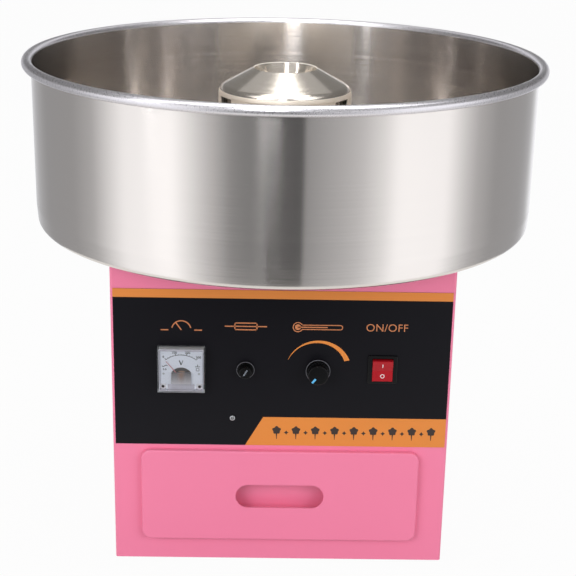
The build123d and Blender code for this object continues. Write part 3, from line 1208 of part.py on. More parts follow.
def wiring():
    """The leads between the inlet, terminals, fuse, switch, control, board, motor and meter."""
    tag_y = BACK_Y - INLET_DEPTH - 7
    block_z = SHELF_Z + 10
    front = BLOCK_Y - 9
    rear = BLOCK_Y + 9
    fuse_y = OVERLAY_Y + FUSE_BARREL_LENGTH + 9
    switch_y = OVERLAY_Y + SWITCH_DEPTH + 8
    pot_y = FRONT_Y + SHEET + 3.5
    meter_y = FRONT_Y + METER_BARREL_DEPTH + 8
    board_z = SHELF_Z + BOARD_LIFT + BOARD + 5
    board_y = BOARD_Y - 32
    routes = [
        # inlet to terminal block
        [(INLET_X - 7, tag_y, INLET_Z - 2), (INLET_X - 7, tag_y - 14, INLET_Z - 2),
         (BLOCK_X - 14, rear + 20, block_z), (BLOCK_X - 14, rear, block_z)],
        [(INLET_X + 7, tag_y, INLET_Z - 2), (INLET_X + 7, tag_y - 16, INLET_Z - 2),
         (BLOCK_X + 7, rear + 22, block_z), (BLOCK_X + 7, rear, block_z)],
        # terminal block to fuse, along the left
        [(BLOCK_X - 15, front, block_z), (BLOCK_X - 15, front - 20, block_z), (-118, -80, block_z - 4),
         (-60, -100, block_z + 12), (FUSE_X, fuse_y + 18, CONTROL_Z), (FUSE_X, fuse_y, CONTROL_Z)],
        # terminal block to meter
        [(BLOCK_X - 5, front, block_z), (BLOCK_X - 5, front - 22, block_z), (-110, -70, block_z + 4),
         (METER_X - 9, meter_y + 20, METER_Z), (METER_X - 9, meter_y, METER_Z)],
        # board to switch, along the right
        [(BOARD_X - 28, board_y, board_z), (BOARD_X - 28, board_y - 16, board_z), (106, -40, board_z + 6),
         (SWITCH_X + 6, switch_y + 18, SWITCH_Z - 7), (SWITCH_X + 6, switch_y, SWITCH_Z - 7)],
        # board to control
        [(BOARD_X - 16, board_y, board_z), (BOARD_X - 16, board_y - 20, board_z), (84, -74, board_z + 8),
         (KNOB_X + 5, pot_y, CONTROL_Z - POT_R - 30), (KNOB_X + 5, pot_y, CONTROL_Z - POT_R - 6)],
    ]
    return [wire(points, 1.3, bend_r(points)) for points in routes]


# ---- Every node, and its files ----------------------------------------------------------
NODES = {
    "cabinet_shell": cabinet_shell,
    "top_plate": top_plate,
    "base_plate": base_plate,
    "shelf_plate": shelf_plate,
    "back_panel": back_panel,
    "control_overlay": control_overlay,
    "cabinet_screws": cabinet_screws,
    "panel_fasteners": panel_fasteners,
    "feet": feet,
    "foot_bolts": foot_bolts,
    "drawer_runners": drawer_runners,
    "bowl_rests": bowl_rests,
    "bowl_pins": bowl_pins,
    "neck_guard": neck_guard,
    "hanger_posts": hanger_posts,
    "isolators": isolators,
    "motor_plate": motor_plate,
    "upper_end_bell": lambda: end_bell(True),
    "lower_end_bell": lambda: end_bell(False),
    "stator_core": stator_core,
    "stator_windings": stator_windings,
    "motor_bearings": motor_bearings,
    "motor_bolts": motor_bolts,
    "brush_holder": brush_holder,
    "brushes": brushes,
    "meter_case": meter_case,
    "meter_cover": meter_cover,
    "meter_dial": meter_dial,
    "meter_movement": meter_movement,
    "fuse_body": fuse_body,
    "pot_body": pot_body,
    "switch_body": switch_body,
    "power_inlet": power_inlet,
    "dimmer_board": dimmer_board,
    "terminal_block": terminal_block,
    "wiring": wiring,
    "drawer_front": drawer_front,
    "drawer_tray": drawer_tray,
    "pull_cup": pull_cup,
    "bowl": bowl,
    "spinner_cover": spinner_cover,
    "floss_band": floss_band,
    "spinner_base": spinner_base,
    "heater_element": heater_element,
    "heater_leads": heater_leads,
    "heater_insulators": heater_insulators,
    "sugar_cup": sugar_cup,
    "spinner_screws": spinner_screws,
    "motor_shaft": motor_shaft,
    "rotor": rotor,
    "ring_insulator": ring_insulator,
    "slip_rings": slip_rings,
    "cooling_fan": cooling_fan,
    "meter_needle": meter_needle,
    "fuse_carrier": fuse_carrier,
    "fuse_link": fuse_link,
    "fuse_cap": fuse_cap,
    "control_knob": control_knob,
    "pot_shaft": pot_shaft,
    "switch_rocker": switch_rocker,
}

os.makedirs("parts", exist_ok=True)
for name, build in NODES.items():
    made = build()
    solids = list(made) if isinstance(made, (list, ShapeList)) else [made]
    flat = [s for item in solids for s in item.solids()]
    shape = flat[0] if len(flat) == 1 else Compound(children=flat)
    export_step(shape, f"parts/{name}.step")
    print(name, len(flat), round(sum(s.volume for s in flat)))
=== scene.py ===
# %% [markdown]
# # A cotton candy machine
# The machine is a pink enamelled steel cabinet with a printed control panel and a drawer, a wide
# steel bowl on top, and a heated spinner head in the middle of the bowl. The solid model of every
# piece is loaded first. It is the fixed frame: it says where each piece is and how it moves. This
# lesson then gives each piece its finish, and remakes in finer meshes the few pieces whose mirror
# polish would show flat facets.

# %% Load the frame
import bpy
import math
import numpy as np
from mathutils import Matrix, Vector


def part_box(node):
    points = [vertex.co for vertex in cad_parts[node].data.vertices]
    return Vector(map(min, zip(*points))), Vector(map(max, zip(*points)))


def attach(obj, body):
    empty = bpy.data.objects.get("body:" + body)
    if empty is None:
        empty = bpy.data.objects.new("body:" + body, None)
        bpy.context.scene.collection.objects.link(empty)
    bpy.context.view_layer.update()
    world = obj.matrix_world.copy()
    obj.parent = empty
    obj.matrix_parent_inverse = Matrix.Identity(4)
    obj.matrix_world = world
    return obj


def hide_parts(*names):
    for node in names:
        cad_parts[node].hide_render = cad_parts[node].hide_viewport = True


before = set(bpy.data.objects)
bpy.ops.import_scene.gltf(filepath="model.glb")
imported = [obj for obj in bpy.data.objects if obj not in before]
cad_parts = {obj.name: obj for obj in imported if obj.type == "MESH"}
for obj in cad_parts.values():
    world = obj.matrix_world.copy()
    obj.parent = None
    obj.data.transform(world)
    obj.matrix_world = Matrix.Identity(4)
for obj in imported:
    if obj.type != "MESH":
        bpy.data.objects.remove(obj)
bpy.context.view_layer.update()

MM = 0.001

# %% [markdown]
# ## The camera
# A table-top product is looked at from standing height, a little from above. The camera stands
# about 1.4 m away and is turned down 19 degrees. Its three axes are worked out from the heading,
# the tilt and the roll, and written as the columns of a matrix. That is surer than three Euler
# angles, whose order is easy to get wrong.

# %% Camera
CAMERA_PLACE = Vector((-0.01607, -1.38643, 0.72184))
HEADING, TILT, ROLL = (math.radians(a) for a in (0.950, 18.997, 1.153))
LENS, SENSOR_WIDTH = 86.8, 36

ahead = Vector((math.sin(HEADING) * math.cos(TILT), math.cos(HEADING) * math.cos(TILT), -math.sin(TILT)))
level = Vector((math.cos(HEADING), -math.sin(HEADING), 0))
above = level.cross(ahead)
right = level * math.cos(ROLL) + above * math.sin(ROLL)
up = above * math.cos(ROLL) - level * math.sin(ROLL)
turn = Matrix((right, up, -ahead)).transposed()

camera = bpy.data.objects.new("camera", bpy.data.cameras.new("camera"))
camera.data.lens = LENS
camera.data.sensor_width = SENSOR_WIDTH
camera.matrix_world = Matrix.Translation(CAMERA_PLACE) @ turn.to_4x4()
bpy.context.scene.collection.objects.link(camera)
bpy.context.scene.camera = camera
print("camera at", tuple(round(c, 3) for c in CAMERA_PLACE))

# %% [markdown]
# ## Colour and nodes
# Colours are written as the hex values that a paint or web chart gives. Those are sRGB, and the
# shader wants linear light, so one function turns them. One small function adds a node, sets it
# and links it, so that a material reads as a short list of steps. Building the nodes by hand in
# the editor gives the same tree, but a script can be read and repeated.

# %% Helpers for materials
def linear(hex_colour):
    """sRGB hex to linear RGBA: c / 12.92 below 0.04045, and ((c + 0.055) / 1.055) ** 2.4 above."""
    srgb = np.array([int(hex_colour[i:i + 2], 16) for i in (1, 3, 5)]) / 255
    rgb = np.where(srgb <= 0.04045, srgb / 12.92, ((srgb + 0.055) / 1.055) ** 2.4)
    return (*rgb, 1.0)


def add(tree, kind, links=None, values=None, **settings):
    """Adds one node: its settings, the values of its inputs, and what is linked to its inputs."""
    made = tree.nodes.new(kind)
    for key, value in settings.items():
        setattr(made, key, value)
    for key, value in (values or {}).items():
        made.inputs[key].default_value = value
    for key, socket in (links or {}).items():
        tree.links.new(socket, made.inputs[key])
    return made


def finish_named(name, **sockets):
    """A new material with one Principled shader, whose constant sockets are set directly."""
    material = bpy.data.materials.new(name)
    material.use_nodes = True
    shader = material.node_tree.nodes["Principled BSDF"]
    for key, value in sockets.items():
        shader.inputs[key.replace("_", " ")].default_value = value
    return material, material.node_tree, shader


print("orange as linear light:", [round(c, 3) for c in linear("#E8913F")])

# %% [markdown]
# ## The studio
# The floor is a roll of pale paper and the room behind it is plain white. Brighter lamps would
# turn both white, but would bleach the machine too. So the camera, mirrors and glass see them
# white by themselves, and as a source of light the room stays dimmer. Two soft lamps stand in
# front at the left and right, and a third hangs above.

# %% World
WORLD_FILL = 0.62

world = bpy.data.worlds.new("studio")
bpy.context.scene.world = world
world.use_nodes = True
sky = world.node_tree
ray = add(sky, "ShaderNodeLightPath").outputs
seen = add(sky, "ShaderNodeMath", {0: ray["Is Camera Ray"], 1: ray["Is Glossy Ray"]}, operation="MAXIMUM")
seen_all = add(sky, "ShaderNodeMath", {0: seen.outputs[0], 1: ray["Is Transmission Ray"]},
               operation="MAXIMUM")
strength = add(sky, "ShaderNodeMapRange", {"Value": seen_all.outputs[0]},
               {"To Min": WORLD_FILL, "To Max": 1.0})
backdrop = sky.nodes["Background"]
backdrop.inputs["Color"].default_value = (1, 1, 1, 1)
sky.links.new(strength.outputs[0], backdrop.inputs["Strength"])
print("world lights at", WORLD_FILL, "of what it shows")

# %% Floor
FLOOR_HALF = 12.0
PAPER = "#B8B8B8"
PAPER_GLOW = 0.965

floor_mesh = bpy.data.meshes.new("floor")
floor_corners = FLOOR_HALF * np.array([(-1, -1, 0), (1, -1, 0), (1, 1, 0), (-1, 1, 0)])
floor_mesh.from_pydata(floor_corners.tolist(), [], [(0, 1, 2, 3)])
floor = bpy.data.objects.new("floor", floor_mesh)
bpy.context.scene.collection.objects.link(floor)
# Matt paper: an even white with no gloss, in which only the machine's soft shadow shows.
paper, tree, shader = finish_named("paper, matt white backdrop roll", Roughness=0.9, Specular_IOR_Level=0.1)
shader.inputs["Base Color"].default_value = linear(PAPER)
ray = add(tree, "ShaderNodeLightPath").outputs
glow = add(tree, "ShaderNodeEmission", values={"Color": (1, 1, 1, 1), "Strength": 1.0})
shown = add(tree, "ShaderNodeMath", {0: ray["Is Camera Ray"], 1: ray["Is Glossy Ray"]}, operation="MAXIMUM")
share = add(tree, "ShaderNodeMath", {0: shown.outputs[0]}, {1: PAPER_GLOW}, operation="MULTIPLY")
lit = add(tree, "ShaderNodeMixShader", {0: share.outputs[0], 1: shader.outputs[0], 2: glow.outputs[0]})
tree.links.new(lit.outputs[0], tree.nodes["Material Output"].inputs["Surface"])
floor.data.materials.append(paper)
print("floor of", 2 * FLOOR_HALF, "m")

# %% Lamps
# Each lamp's place and the point that it is turned to, the side of its square box, and its watts.
LAMPS = {"lamp_left": ((-1.5, -1.7, 1.0), (0, 0, 0.25), 1.3, 23),
         "lamp_right": ((1.6, -1.6, 0.95), (0, 0, 0.25), 1.3, 17),
         "lamp_top": ((0.1, 0.1, 2.3), (0, 0, 0.3), 1.2, 16)}
for name, (stand, aim, side, watts) in LAMPS.items():
    light = bpy.data.lights.new(name, "AREA")
    light.size, light.energy = side, watts
    lamp = bpy.data.objects.new(name, light)
    lamp.location = stand
    lamp.rotation_euler = (Vector(aim) - Vector(stand)).to_track_quat("-Z", "Y").to_euler()
    bpy.context.scene.collection.objects.link(lamp)
print("lamps:", list(LAMPS))

# %% [markdown]
# Polished steel has no colour of its own: it only shows what stands round it, so a studio that is
# white all round would leave the bowl flat. Studios put up pale panels and dark flags for
# that. Separate cards would do it here too, but each would need its own place and size. Instead
# three rings of cloth stand one above another, and a ramp over the direction says how bright each
# ring is there. Only reflections see the rings, so they hide nothing and cast no shadow.

# %% Rings of panels
PANEL_RING_R = 0.62
RING_STEPS = 128
BRIGHTEST = 11.0
SILK = (0.97, 0.985, 1.03)


def grid_quads(rows, cols, close_rows=False, close_cols=False):
    """Quads of a grid, each from four neighbouring points: (i, j), (i+1, j), (i+1, j+1), (i, j+1)."""
    index = np.arange(rows * cols).reshape(rows, cols)
    if close_rows:
        index = np.vstack([index, index[:1]])
    if close_cols:
        index = np.hstack([index, index[:, :1]])
    return np.stack([index[:-1, :-1], index[1:, :-1], index[1:, 1:], index[:-1, 1:]], axis=-1).reshape(-1, 4)


def panel_ring(name, low, high, panels):
    """A wall r = const round the machine that only reflections see, lit by direction: 0 degrees in front."""
    around = np.linspace(0, 2 * np.pi, RING_STEPS + 1)[:-1]
    wall = np.stack([np.stack([PANEL_RING_R * np.sin(around), -PANEL_RING_R * np.cos(around),
                               np.full_like(around, z)], axis=-1) for z in (low, high)])
    mesh = bpy.data.meshes.new(name)
    mesh.from_pydata(wall.reshape(-1, 3).tolist(), [], grid_quads(2, RING_STEPS, False, True).tolist())
    ring = bpy.data.objects.new(name, mesh)
    bpy.context.scene.collection.objects.link(ring)
    ring.visible_camera = ring.visible_diffuse = ring.visible_shadow = ring.visible_transmission = False

    # Silk glows softly and velvet swallows light: bright and dark bands with soft edges.
    cloth, tree, shader = finish_named(name + ", white silk and black velvet")
    tree.nodes.remove(shader)
    spot = add(tree, "ShaderNodeTexCoord")
    xyz = add(tree, "ShaderNodeSeparateXYZ", {0: spot.outputs["Object"]})
    front = add(tree, "ShaderNodeMath", {0: xyz.outputs["Y"]}, {1: -1.0}, operation="MULTIPLY")
    angle = add(tree, "ShaderNodeMath", {0: xyz.outputs["X"], 1: front.outputs[0]}, operation="ARCTAN2")
    share = add(tree, "ShaderNodeMapRange", {"Value": angle.outputs[0]},
                {"From Min": -math.pi, "From Max": math.pi})
    ramp = add(tree, "ShaderNodeValToRGB", {0: share.outputs[0]})
    stops = ramp.color_ramp.elements
    stops.remove(stops[1])
    for number, (degrees, brightness) in enumerate(panels):
        stop = stops[0] if number == 0 else stops.new((degrees + 180) / 360)
        stop.position = (degrees + 180) / 360
        stop.color = (*(brightness / BRIGHTEST * tint for tint in SILK), 1)
    glow = add(tree, "ShaderNodeEmission", {"Color": ramp.outputs[0]}, {"Strength": BRIGHTEST})
    tree.links.new(glow.outputs[0], tree.nodes["Material Output"].inputs["Surface"])
    ring.data.materials.append(cloth)
    return len(stops)


# Direction in degrees round the machine, growing to the right, and brightness there.
LOW_PANELS = [(-180, 0.50), (-156, 1.05), (-142, 0.80), (-127, 0.52), (-112, 0.39), (-88, 0.42),
              (-76, 0.57), (-68, 0.92), (-60, 1.28), (-40, 1.36), (-34, 1.02), (-27, 0.64), (-19, 0.33),
              (-12, 0.26), (-6.7, 0.25), (-6.2, 0.11), (6.2, 0.12), (6.7, 0.37), (14, 0.50), (26, 0.68),
              (34, 0.96), (40, 1.30), (60, 1.36), (68, 0.92), (76, 0.60), (88, 0.42), (112, 0.43),
              (122, 0.52), (134, 1.00), (156, 1.10), (180, 0.50)]
MIDDLE_PANELS = [(-180, 0.90), (-172, 0.80), (-162, 0.15), (-142, 0.08), (-125, 0.06), (-60, 0.10),
                 (-51, 0.20), (-49.7, 9.00), (-47.7, 9.00), (-46.4, 0.20), (-40, 0.40), (-22, 0.50),
                 (-9.6, 0.30), (-8.8, 10.50), (-2.2, 10.50), (-1.4, 0.30), (20, 0.35), (50, 0.30), (75, 0.10),
                 (125, 0.05), (142, 0.08), (162, 0.15), (172, 0.80), (180, 0.90)]
TOP_PANELS = [(-180, 0.60), (-160, 0.50), (-140, 0.30), (-125, 0.10), (-86, 0.15), (-70, 1.60), (-58, 2.80),
              (-51, 3.20), (-49.7, 7.00), (-47.7, 7.00), (-46.4, 3.40), (-34, 3.00), (-16, 0.50),
              (-9.6, 0.40), (-8.8, 10.50), (-2.2, 10.50), (-1.4, 0.40), (16, 0.50), (34, 3.30), (58, 3.20),
              (72, 1.40), (88, 0.15), (125, 0.10), (140, 0.30), (160, 0.50), (180, 0.60)]
LOW_FOOT, LOW_TOP, MIDDLE_TOP, HIGH_TOP = 0.004, 0.55, 1.0, 2.0
print("panels:", panel_ring("panels_low", LOW_FOOT, LOW_TOP, LOW_PANELS),
      panel_ring("panels_middle", LOW_TOP, MIDDLE_TOP, MIDDLE_PANELS),
      panel_ring("panels_top", MIDDLE_TOP, HIGH_TOP, TOP_PANELS))

# %% [markdown]
# ## Steel and aluminium
# The bowl is spun from stainless sheet on a lathe and polished while it turns, so its finest
# scratches run round it. Across them a reflection is drawn out, and along them it stays sharp.
# Thousands of tiny grooves in the bump would show that too, but only as noise at this distance.
# The shader's anisotropy does exactly that, with a tangent that goes round the Z axis. The
# faint unevenness is a slow noise of about 60 mm in the bump, which is what makes
# reflections waver in thin sheet.

# %% Stainless steel
NOISE_LOW, NOISE_HIGH = 0.3, 0.7    # nearly all of a noise texture lies between these


def turned_metal(name, colour, roughness, anisotropy, line_mm, wave_mm, wave, metallic=1.0):
    """Metal polished on a lathe: fine lines round Z in its roughness, and a slow waver in its bump."""
    material, tree, shader = finish_named(name, Metallic=metallic, Anisotropic=anisotropy,
                                          Anisotropic_Rotation=0.25)
    place = add(tree, "ShaderNodeTexCoord").outputs["Object"]
    xyz = add(tree, "ShaderNodeSeparateXYZ", {0: place})
    across = add(tree, "ShaderNodeVectorMath", {0: place}, {1: (1, 1, 0)}, operation="MULTIPLY")
    radius = add(tree, "ShaderNodeVectorMath", {0: across.outputs[0]}, operation="LENGTH")
    section = add(tree, "ShaderNodeCombineXYZ", {"X": radius.outputs["Value"], "Y": xyz.outputs["Z"]})
    lines = add(tree, "ShaderNodeTexNoise", {"Vector": section.outputs[0]},
                {"Scale": 1 / (line_mm * MM), "Detail": 2.0})
    grain = add(tree, "ShaderNodeMapRange", {"Value": lines.outputs[0]},
                {"From Min": NOISE_LOW, "From Max": NOISE_HIGH, "To Min": roughness * 0.85,
                 "To Max": roughness * 1.2})
    tone = add(tree, "ShaderNodeMix", {"Factor": lines.outputs[0]},
               {"A": linear(colour[0]), "B": linear(colour[1])}, data_type="RGBA")
    slow = add(tree, "ShaderNodeTexNoise", {"Vector": place}, {"Scale": 1 / (wave_mm * MM), "Detail": 1.0})
    bump = add(tree, "ShaderNodeBump", {"Height": slow.outputs[0]}, {"Strength": 1.0, "Distance": wave * MM})
    tangent = add(tree, "ShaderNodeTangent", direction_type="RADIAL", axis="Z")
    tree.links.new(tone.outputs["Result"], shader.inputs["Base Color"])
    tree.links.new(grain.outputs[0], shader.inputs["Roughness"])
    tree.links.new(bump.outputs[0], shader.inputs["Normal"])
    tree.links.new(tangent.outputs[0], shader.inputs["Tangent"])
    return material


# Real polishing lines are hundredths of a millimetre wide. These are as coarse as they need to show.
# Polished sheet gives tall soft reflections with bright and dark bands.
stainless = turned_metal("stainless steel, spun and polished", ("#D6D0CA", "#DFD9D3"), 0.17, 1.0,
                         1.2, 60, 0.06)
# A buffed hot cone gives a paler, warmer and softer gleam.
cone_steel = turned_metal("stainless steel, spun cone, softly buffed", ("#E6DCCE", "#ECE3D7"), 0.19, 0.5,
                          2.4, 40, 0.05, 0.86)
# Brushed aluminium gives a duller, whiter shine in rings.
spun_aluminium = turned_metal("aluminium, spun and brushed", ("#BDBEC0", "#CACBCD"), 0.28, 0.5, 0.9, 50, 0.1)
print(stainless.name, "|", cone_steel.name, "|", spun_aluminium.name)

# %% [markdown]
# ## Enamel
# The cabinet is steel sheet with a pink powder coat. The powder melts in an oven to a smooth
# skin with a slight orange peel: soft bumps about 1.5 mm apart. A plain colour would look like
# card, so one noise moves the gloss and the bump, and a broad one shifts the colour a little.

# %% Powder coat
PATCHES_PER_METRE = 9.0


def skin(name, dark, light, roughness, cell_mm, height_mm, **more):
    """A coat or moulded skin: a fine noise in its gloss and its bump, and a broad one in its colour."""
    material, tree, shader = finish_named(name, **more)
    place = add(tree, "ShaderNodeTexCoord").outputs["Object"]
    peel = add(tree, "ShaderNodeTexNoise", {"Vector": place}, {"Scale": 1 / (cell_mm * MM), "Detail": 2.0})
    broad = add(tree, "ShaderNodeTexNoise", {"Vector": place}, {"Scale": PATCHES_PER_METRE, "Detail": 2.0})
    tone = add(tree, "ShaderNodeMix", {"Factor": broad.outputs[0]}, {"A": linear(dark), "B": linear(light)},
               data_type="RGBA")
    tree.links.new(tone.outputs["Result"], shader.inputs["Base Color"])
    gloss = add(tree, "ShaderNodeMapRange", {"Value": peel.outputs[0]},
                {"From Min": NOISE_LOW, "From Max": NOISE_HIGH, "To Min": roughness * 0.9,
                 "To Max": roughness * 1.12})
    tree.links.new(gloss.outputs[0], shader.inputs["Roughness"])
    bump = add(tree, "ShaderNodeBump", {"Height": peel.outputs[0]},
               {"Strength": 1.0, "Distance": height_mm * MM})
    tree.links.new(bump.outputs[0], shader.inputs["Normal"])
    return material


# Oven-cured powder gives a clear pink with a medium, slightly rippled gloss.
enamel = skin("powder coat, pink, oven cured on steel sheet", "#EC7C9F", "#F080A3", 0.36, 1.6, 0.012,
              IOR=1.5)
print(enamel.name)

# %% [markdown]
# ## Panel film, inks and plastics
# The control panel is a polycarbonate film, printed on its back and faintly textured in front.
# Knob, switch and fuse holder are moulded thermosets and nylon: nearly black, with a soft gloss.
# Each could be its own tree of nodes. They differ only in colour, gloss and grain, so the one
# function for a skin makes them all, and a comment says what each gives the eye.

# %% Satin steel and dulled aluminium
# The skirt of the hot head is satin and straw coloured: a pale, even band.
satin_steel = skin("stainless steel, satin skirt, straw coloured by heat", "#EFE2D2", "#F7ECDD", 0.50, 1.2,
                   0.01, Metallic=0.6)
# Sugar dust turns the cup and the inside of the cover a soft near white.
sugared = skin("aluminium, dulled white by sugar", "#FBF5EC", "#FFFBF4", 0.55, 1.4, 0.02, Metallic=0.1)
# The unpolished rim is a soft pale edge without hard reflections.
rim_satin = skin("stainless steel, rolled rim, satin", "#D3CFD2", "#DCD9DB", 0.29, 1.2, 0.003, Metallic=0.85)
print("three satin finishes")

# %% Film, inks and plastics
# The film's fine grain breaks up reflections, so the panel stays black from every side.
film = skin("polycarbonate film, black print, fine matt grain", "#0C0B10", "#0F0E14", 0.36, 0.5, 0.004,
            IOR=1.58, Specular_IOR_Level=0.12)
# Thick screen ink is flat and bright, and where it is thin the black dulls it.
orange_ink = skin("screen print ink, orange", "#DA8130", "#DF8632", 0.45, 0.8, 0.002, IOR=1.5)
label_ink = skin("screen print ink, dull orange", "#BC7246", "#C27A4C", 0.45, 0.8, 0.002, IOR=1.5)
# Dark ink over the orange one gives a brown black. The same dark paints shade behind the meter's window and
# on the screws.
dark_ink_and_shade = skin("screen print ink, brown black, also painted shade", "#2A1B14", "#322018", 0.5, 0.8, 0.002, IOR=1.5)
# A moulded face is near black with a small soft gleam. Its edge is a painted highlight: a grey that stands
# for the light it catches from above.
black_plastic = skin("phenolic, black, compression moulded", "#070708", "#0A0A0B", 0.18, 0.9, 0.002,
                     IOR=1.5, Specular_IOR_Level=0.25)
edge_highlight_plastic = skin("phenolic, black, painted grey highlight at its moulded edge", "#4A4A50", "#58585E", 0.30, 0.9, 0.001,
                    IOR=1.5)
# Tinted right through, the rocker is a deep even red.
red_plastic = skin("polycarbonate, signal red, moulded and tinted", "#A00F1B", "#B21824", 0.20, 1.2, 0.003,
                   IOR=1.45, Specular_IOR_Level=0.3)
# Rubber is dull and dark and hardly shines.
rubber = skin("nitrile rubber, black, moulded", "#1C1C1D", "#242425", 0.72, 0.7, 0.02, IOR=1.52)
print("plastics and inks ready")

# %% Paints of the meter, the knob and the switch
# Matt cool white behind black ink, so that the scale can be read from any side.
dial_paint = skin("aluminium dial plate, matt white paint", "#E2E6F2", "#EAEDF6", 0.55, 0.6, 0.002, IOR=1.5)
dial_ink = skin("screen print ink, black", "#26282B", "#2E3033", 0.5, 0.8, 0.001, IOR=1.5)
# Pad print leaves a solid white mark on the red rocker.
mark_paint = skin("pad print ink, white", "#F2EEEE", "#F8F5F5", 0.4, 0.8, 0.001, IOR=1.5)
# The inlay is one bright strip in the black knob.
pointer_paint = skin("polystyrene inlay, light blue", "#4FB2EA", "#62BEF0", 0.35, 0.8, 0.002, IOR=1.59)
# Lacquer on a hair-thin pointer looks washed out.
needle_paint = skin("aluminium pointer, thin red lacquer", "#CC8286", "#D69092", 0.4, 0.8, 0.002, IOR=1.5)
# The milky frame lets light in and nothing through: a grey white.
milky = skin("polystyrene, milky, moulded", "#B9B7C4", "#C6C4CF", 0.45, 1.5, 0.004, IOR=1.59)
# Stoved enamel on the plate behind the dial is a smooth off-white.
backing = skin("aluminium, white stove enamel", "#D9D6DC", "#E2DFE4", 0.5, 1.5, 0.004, IOR=1.5)
# The coil is seen through two sheets of plastic: a soft brown, not a bright copper. Its small oval is a
# painted glint where the coil catches the light.
coil_glint_brown = skin("copper coil seen through the cover, with painted glint", "#94705E", "#AC8A78", 0.45, 0.6, 0.002)
# Nickel gives a small cool gleam at the floor of the fuse cap's slot.
plated = skin("steel, bright nickel plated", "#B4BCC8", "#C4CBD6", 0.22, 1.2, 0.003, Metallic=1.0)
print("paints ready")

# %% [markdown]
# The meter's cover is clear acrylic. Real refraction through two thin walls costs many samples and
# shows little, so the cover is a thin veil: nearly nothing where it is looked through squarely,
# and dense at a glancing angle, where clear plastic turns into a mirror.

# %% Clear cover
ACRYLIC_IOR = 1.49
VEIL_SQUARE, VEIL_GLANCING = 0.03, 0.85
# Clear acrylic is a slight cool haze squarely on, and a pale gleam at its edges.
clear, tree, shader = finish_named("acrylic, clear, injection moulded", Roughness=0.06, IOR=ACRYLIC_IOR)
shader.inputs["Base Color"].default_value = linear("#EEF3F6")
mirrored = add(tree, "ShaderNodeFresnel", values={"IOR": ACRYLIC_IOR})
veil = add(tree, "ShaderNodeMapRange", {"Value": mirrored.outputs[0]},
           {"From Min": 0.03, "From Max": 0.7, "To Min": VEIL_SQUARE, "To Max": VEIL_GLANCING})
tree.links.new(veil.outputs[0], shader.inputs["Alpha"])
print(clear.name)

# %% [markdown]
# ## What is inside
# Few people see these pieces, but each has its own real finish: zinc on the brackets and screws,
# varnished laminations, enamelled copper wire, carbon, brass and ceramic.

# %% Inner metals
def plain_metal(name, dark, light, roughness, patch_mm, height_mm):
    """Cast, rolled or plated metal: patches of one size in its colour, its gloss and its bump."""
    return skin(name, dark, light, roughness, patch_mm, height_mm, Metallic=1.0)


# Bright grey with faint clouds, as zinc crystals give.
zinc = plain_metal("steel, bright zinc plated", "#B9BDC0", "#CACDCF", 0.30, 2.5, 0.01)
# Dull light grey, finely pebbled by the mould.
cast_aluminium = plain_metal("aluminium, die cast", "#9FA1A3", "#ADAFB0", 0.48, 1.1, 0.03)
# Warm yellow with a clear gleam.
brass = plain_metal("brass, turned", "#C9A45C", "#D6B36C", 0.25, 1.5, 0.005)
# Grey brown, blotched by heat.
nichrome = plain_metal("nickel chromium wire, heat darkened", "#5F5A57", "#7A736E", 0.42, 1.5, 0.01)
# Red brown and shiny, rippled from wire to wire.
copper = plain_metal("copper wire, enamelled and wound", "#A85A32", "#BE6B3C", 0.33, 0.8, 0.05)
# Dark blue grey, rippled from sheet to sheet.
laminations = plain_metal("electrical steel, varnished stack", "#55585C", "#6A6D70", 0.40, 0.6, 0.04)
print("inner metals ready")

# %% Insulators
# Carbon is sooty black, resin board brown and faintly mottled, solder mask a soft glossy green.
carbon = skin("carbon, pressed and fired", "#202022", "#2A2A2C", 0.6, 0.8, 0.01)
resin = skin("phenolic resin board, brown", "#4A2C1E", "#583524", 0.45, 1.2, 0.01)
board = skin("glass epoxy board, green solder mask", "#1C5B3A", "#236B45", 0.35, 1.0, 0.004)
# Unglazed ceramic is chalky cream, silicone a soft red brown, glass nearly clear with a sharp gleam.
ceramic = skin("steatite ceramic, unglazed", "#E6E0D2", "#EEE9DD", 0.6, 0.9, 0.01)
wire_skin = skin("silicone wire insulation, red brown", "#8E2F26", "#9C382D", 0.5, 0.8, 0.005)
fuse_glass = skin("soda glass tube, clear", "#DCE6E4", "#E6EEEC", 0.08, 2.0, 0.001, Alpha=0.35)
print("inner finishes ready")

# %% [markdown]
# ## Giving the finishes to the pieces
# Each solid arrives with the name of its finish in its material slot, so a table from that name
# to the new material dresses them all, and none is forgotten.

# %% Dress the solids
FINISHES = {"pink_enamel": enamel, "stainless": stainless, "zinc_steel": zinc,
            "spun_aluminium": spun_aluminium, "cast_aluminium": cast_aluminium, "overlay_film": film,
            "black_plastic": black_plastic, "red_plastic": red_plastic, "clear_acrylic": clear,
            "dial_white": dial_paint, "needle_red": needle_paint, "rubber": rubber, "copper": copper,
            "brass": brass, "electrical_steel": laminations, "carbon": carbon,
            "insulating_resin": resin, "board_green": board, "nichrome": nichrome,
            "ceramic": ceramic, "wire_insulation": wire_skin, "fuse_glass": fuse_glass}
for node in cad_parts.values():
    for slot in node.material_slots:
        slot.material = FINISHES[slot.material.name]
print("dressed", len(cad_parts), "solids with", len(FINISHES), "finishes")

# %% [markdown]
# ## Surfaces from numpy
# A new piece is a grid of points that a formula gives all at once. Rows and columns of the grid
# become quads, and a grid that closes on itself is joined at its seam. A Screw modifier on a
# profile could turn the round pieces too, but the notches of the spinner's cover need a formula.
# The sign of the enclosed volume tells whether the faces point outwards, and they are turned
# round if they don't.

# %% Mesh helpers
def set_down(name, mesh, material, body):
    """Puts a finished mesh in the scene as one piece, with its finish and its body."""
    mesh.materials.append(material)
    piece = bpy.data.objects.new(name, mesh)
    bpy.context.scene.collection.objects.link(piece)
    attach(piece, body)
    return piece


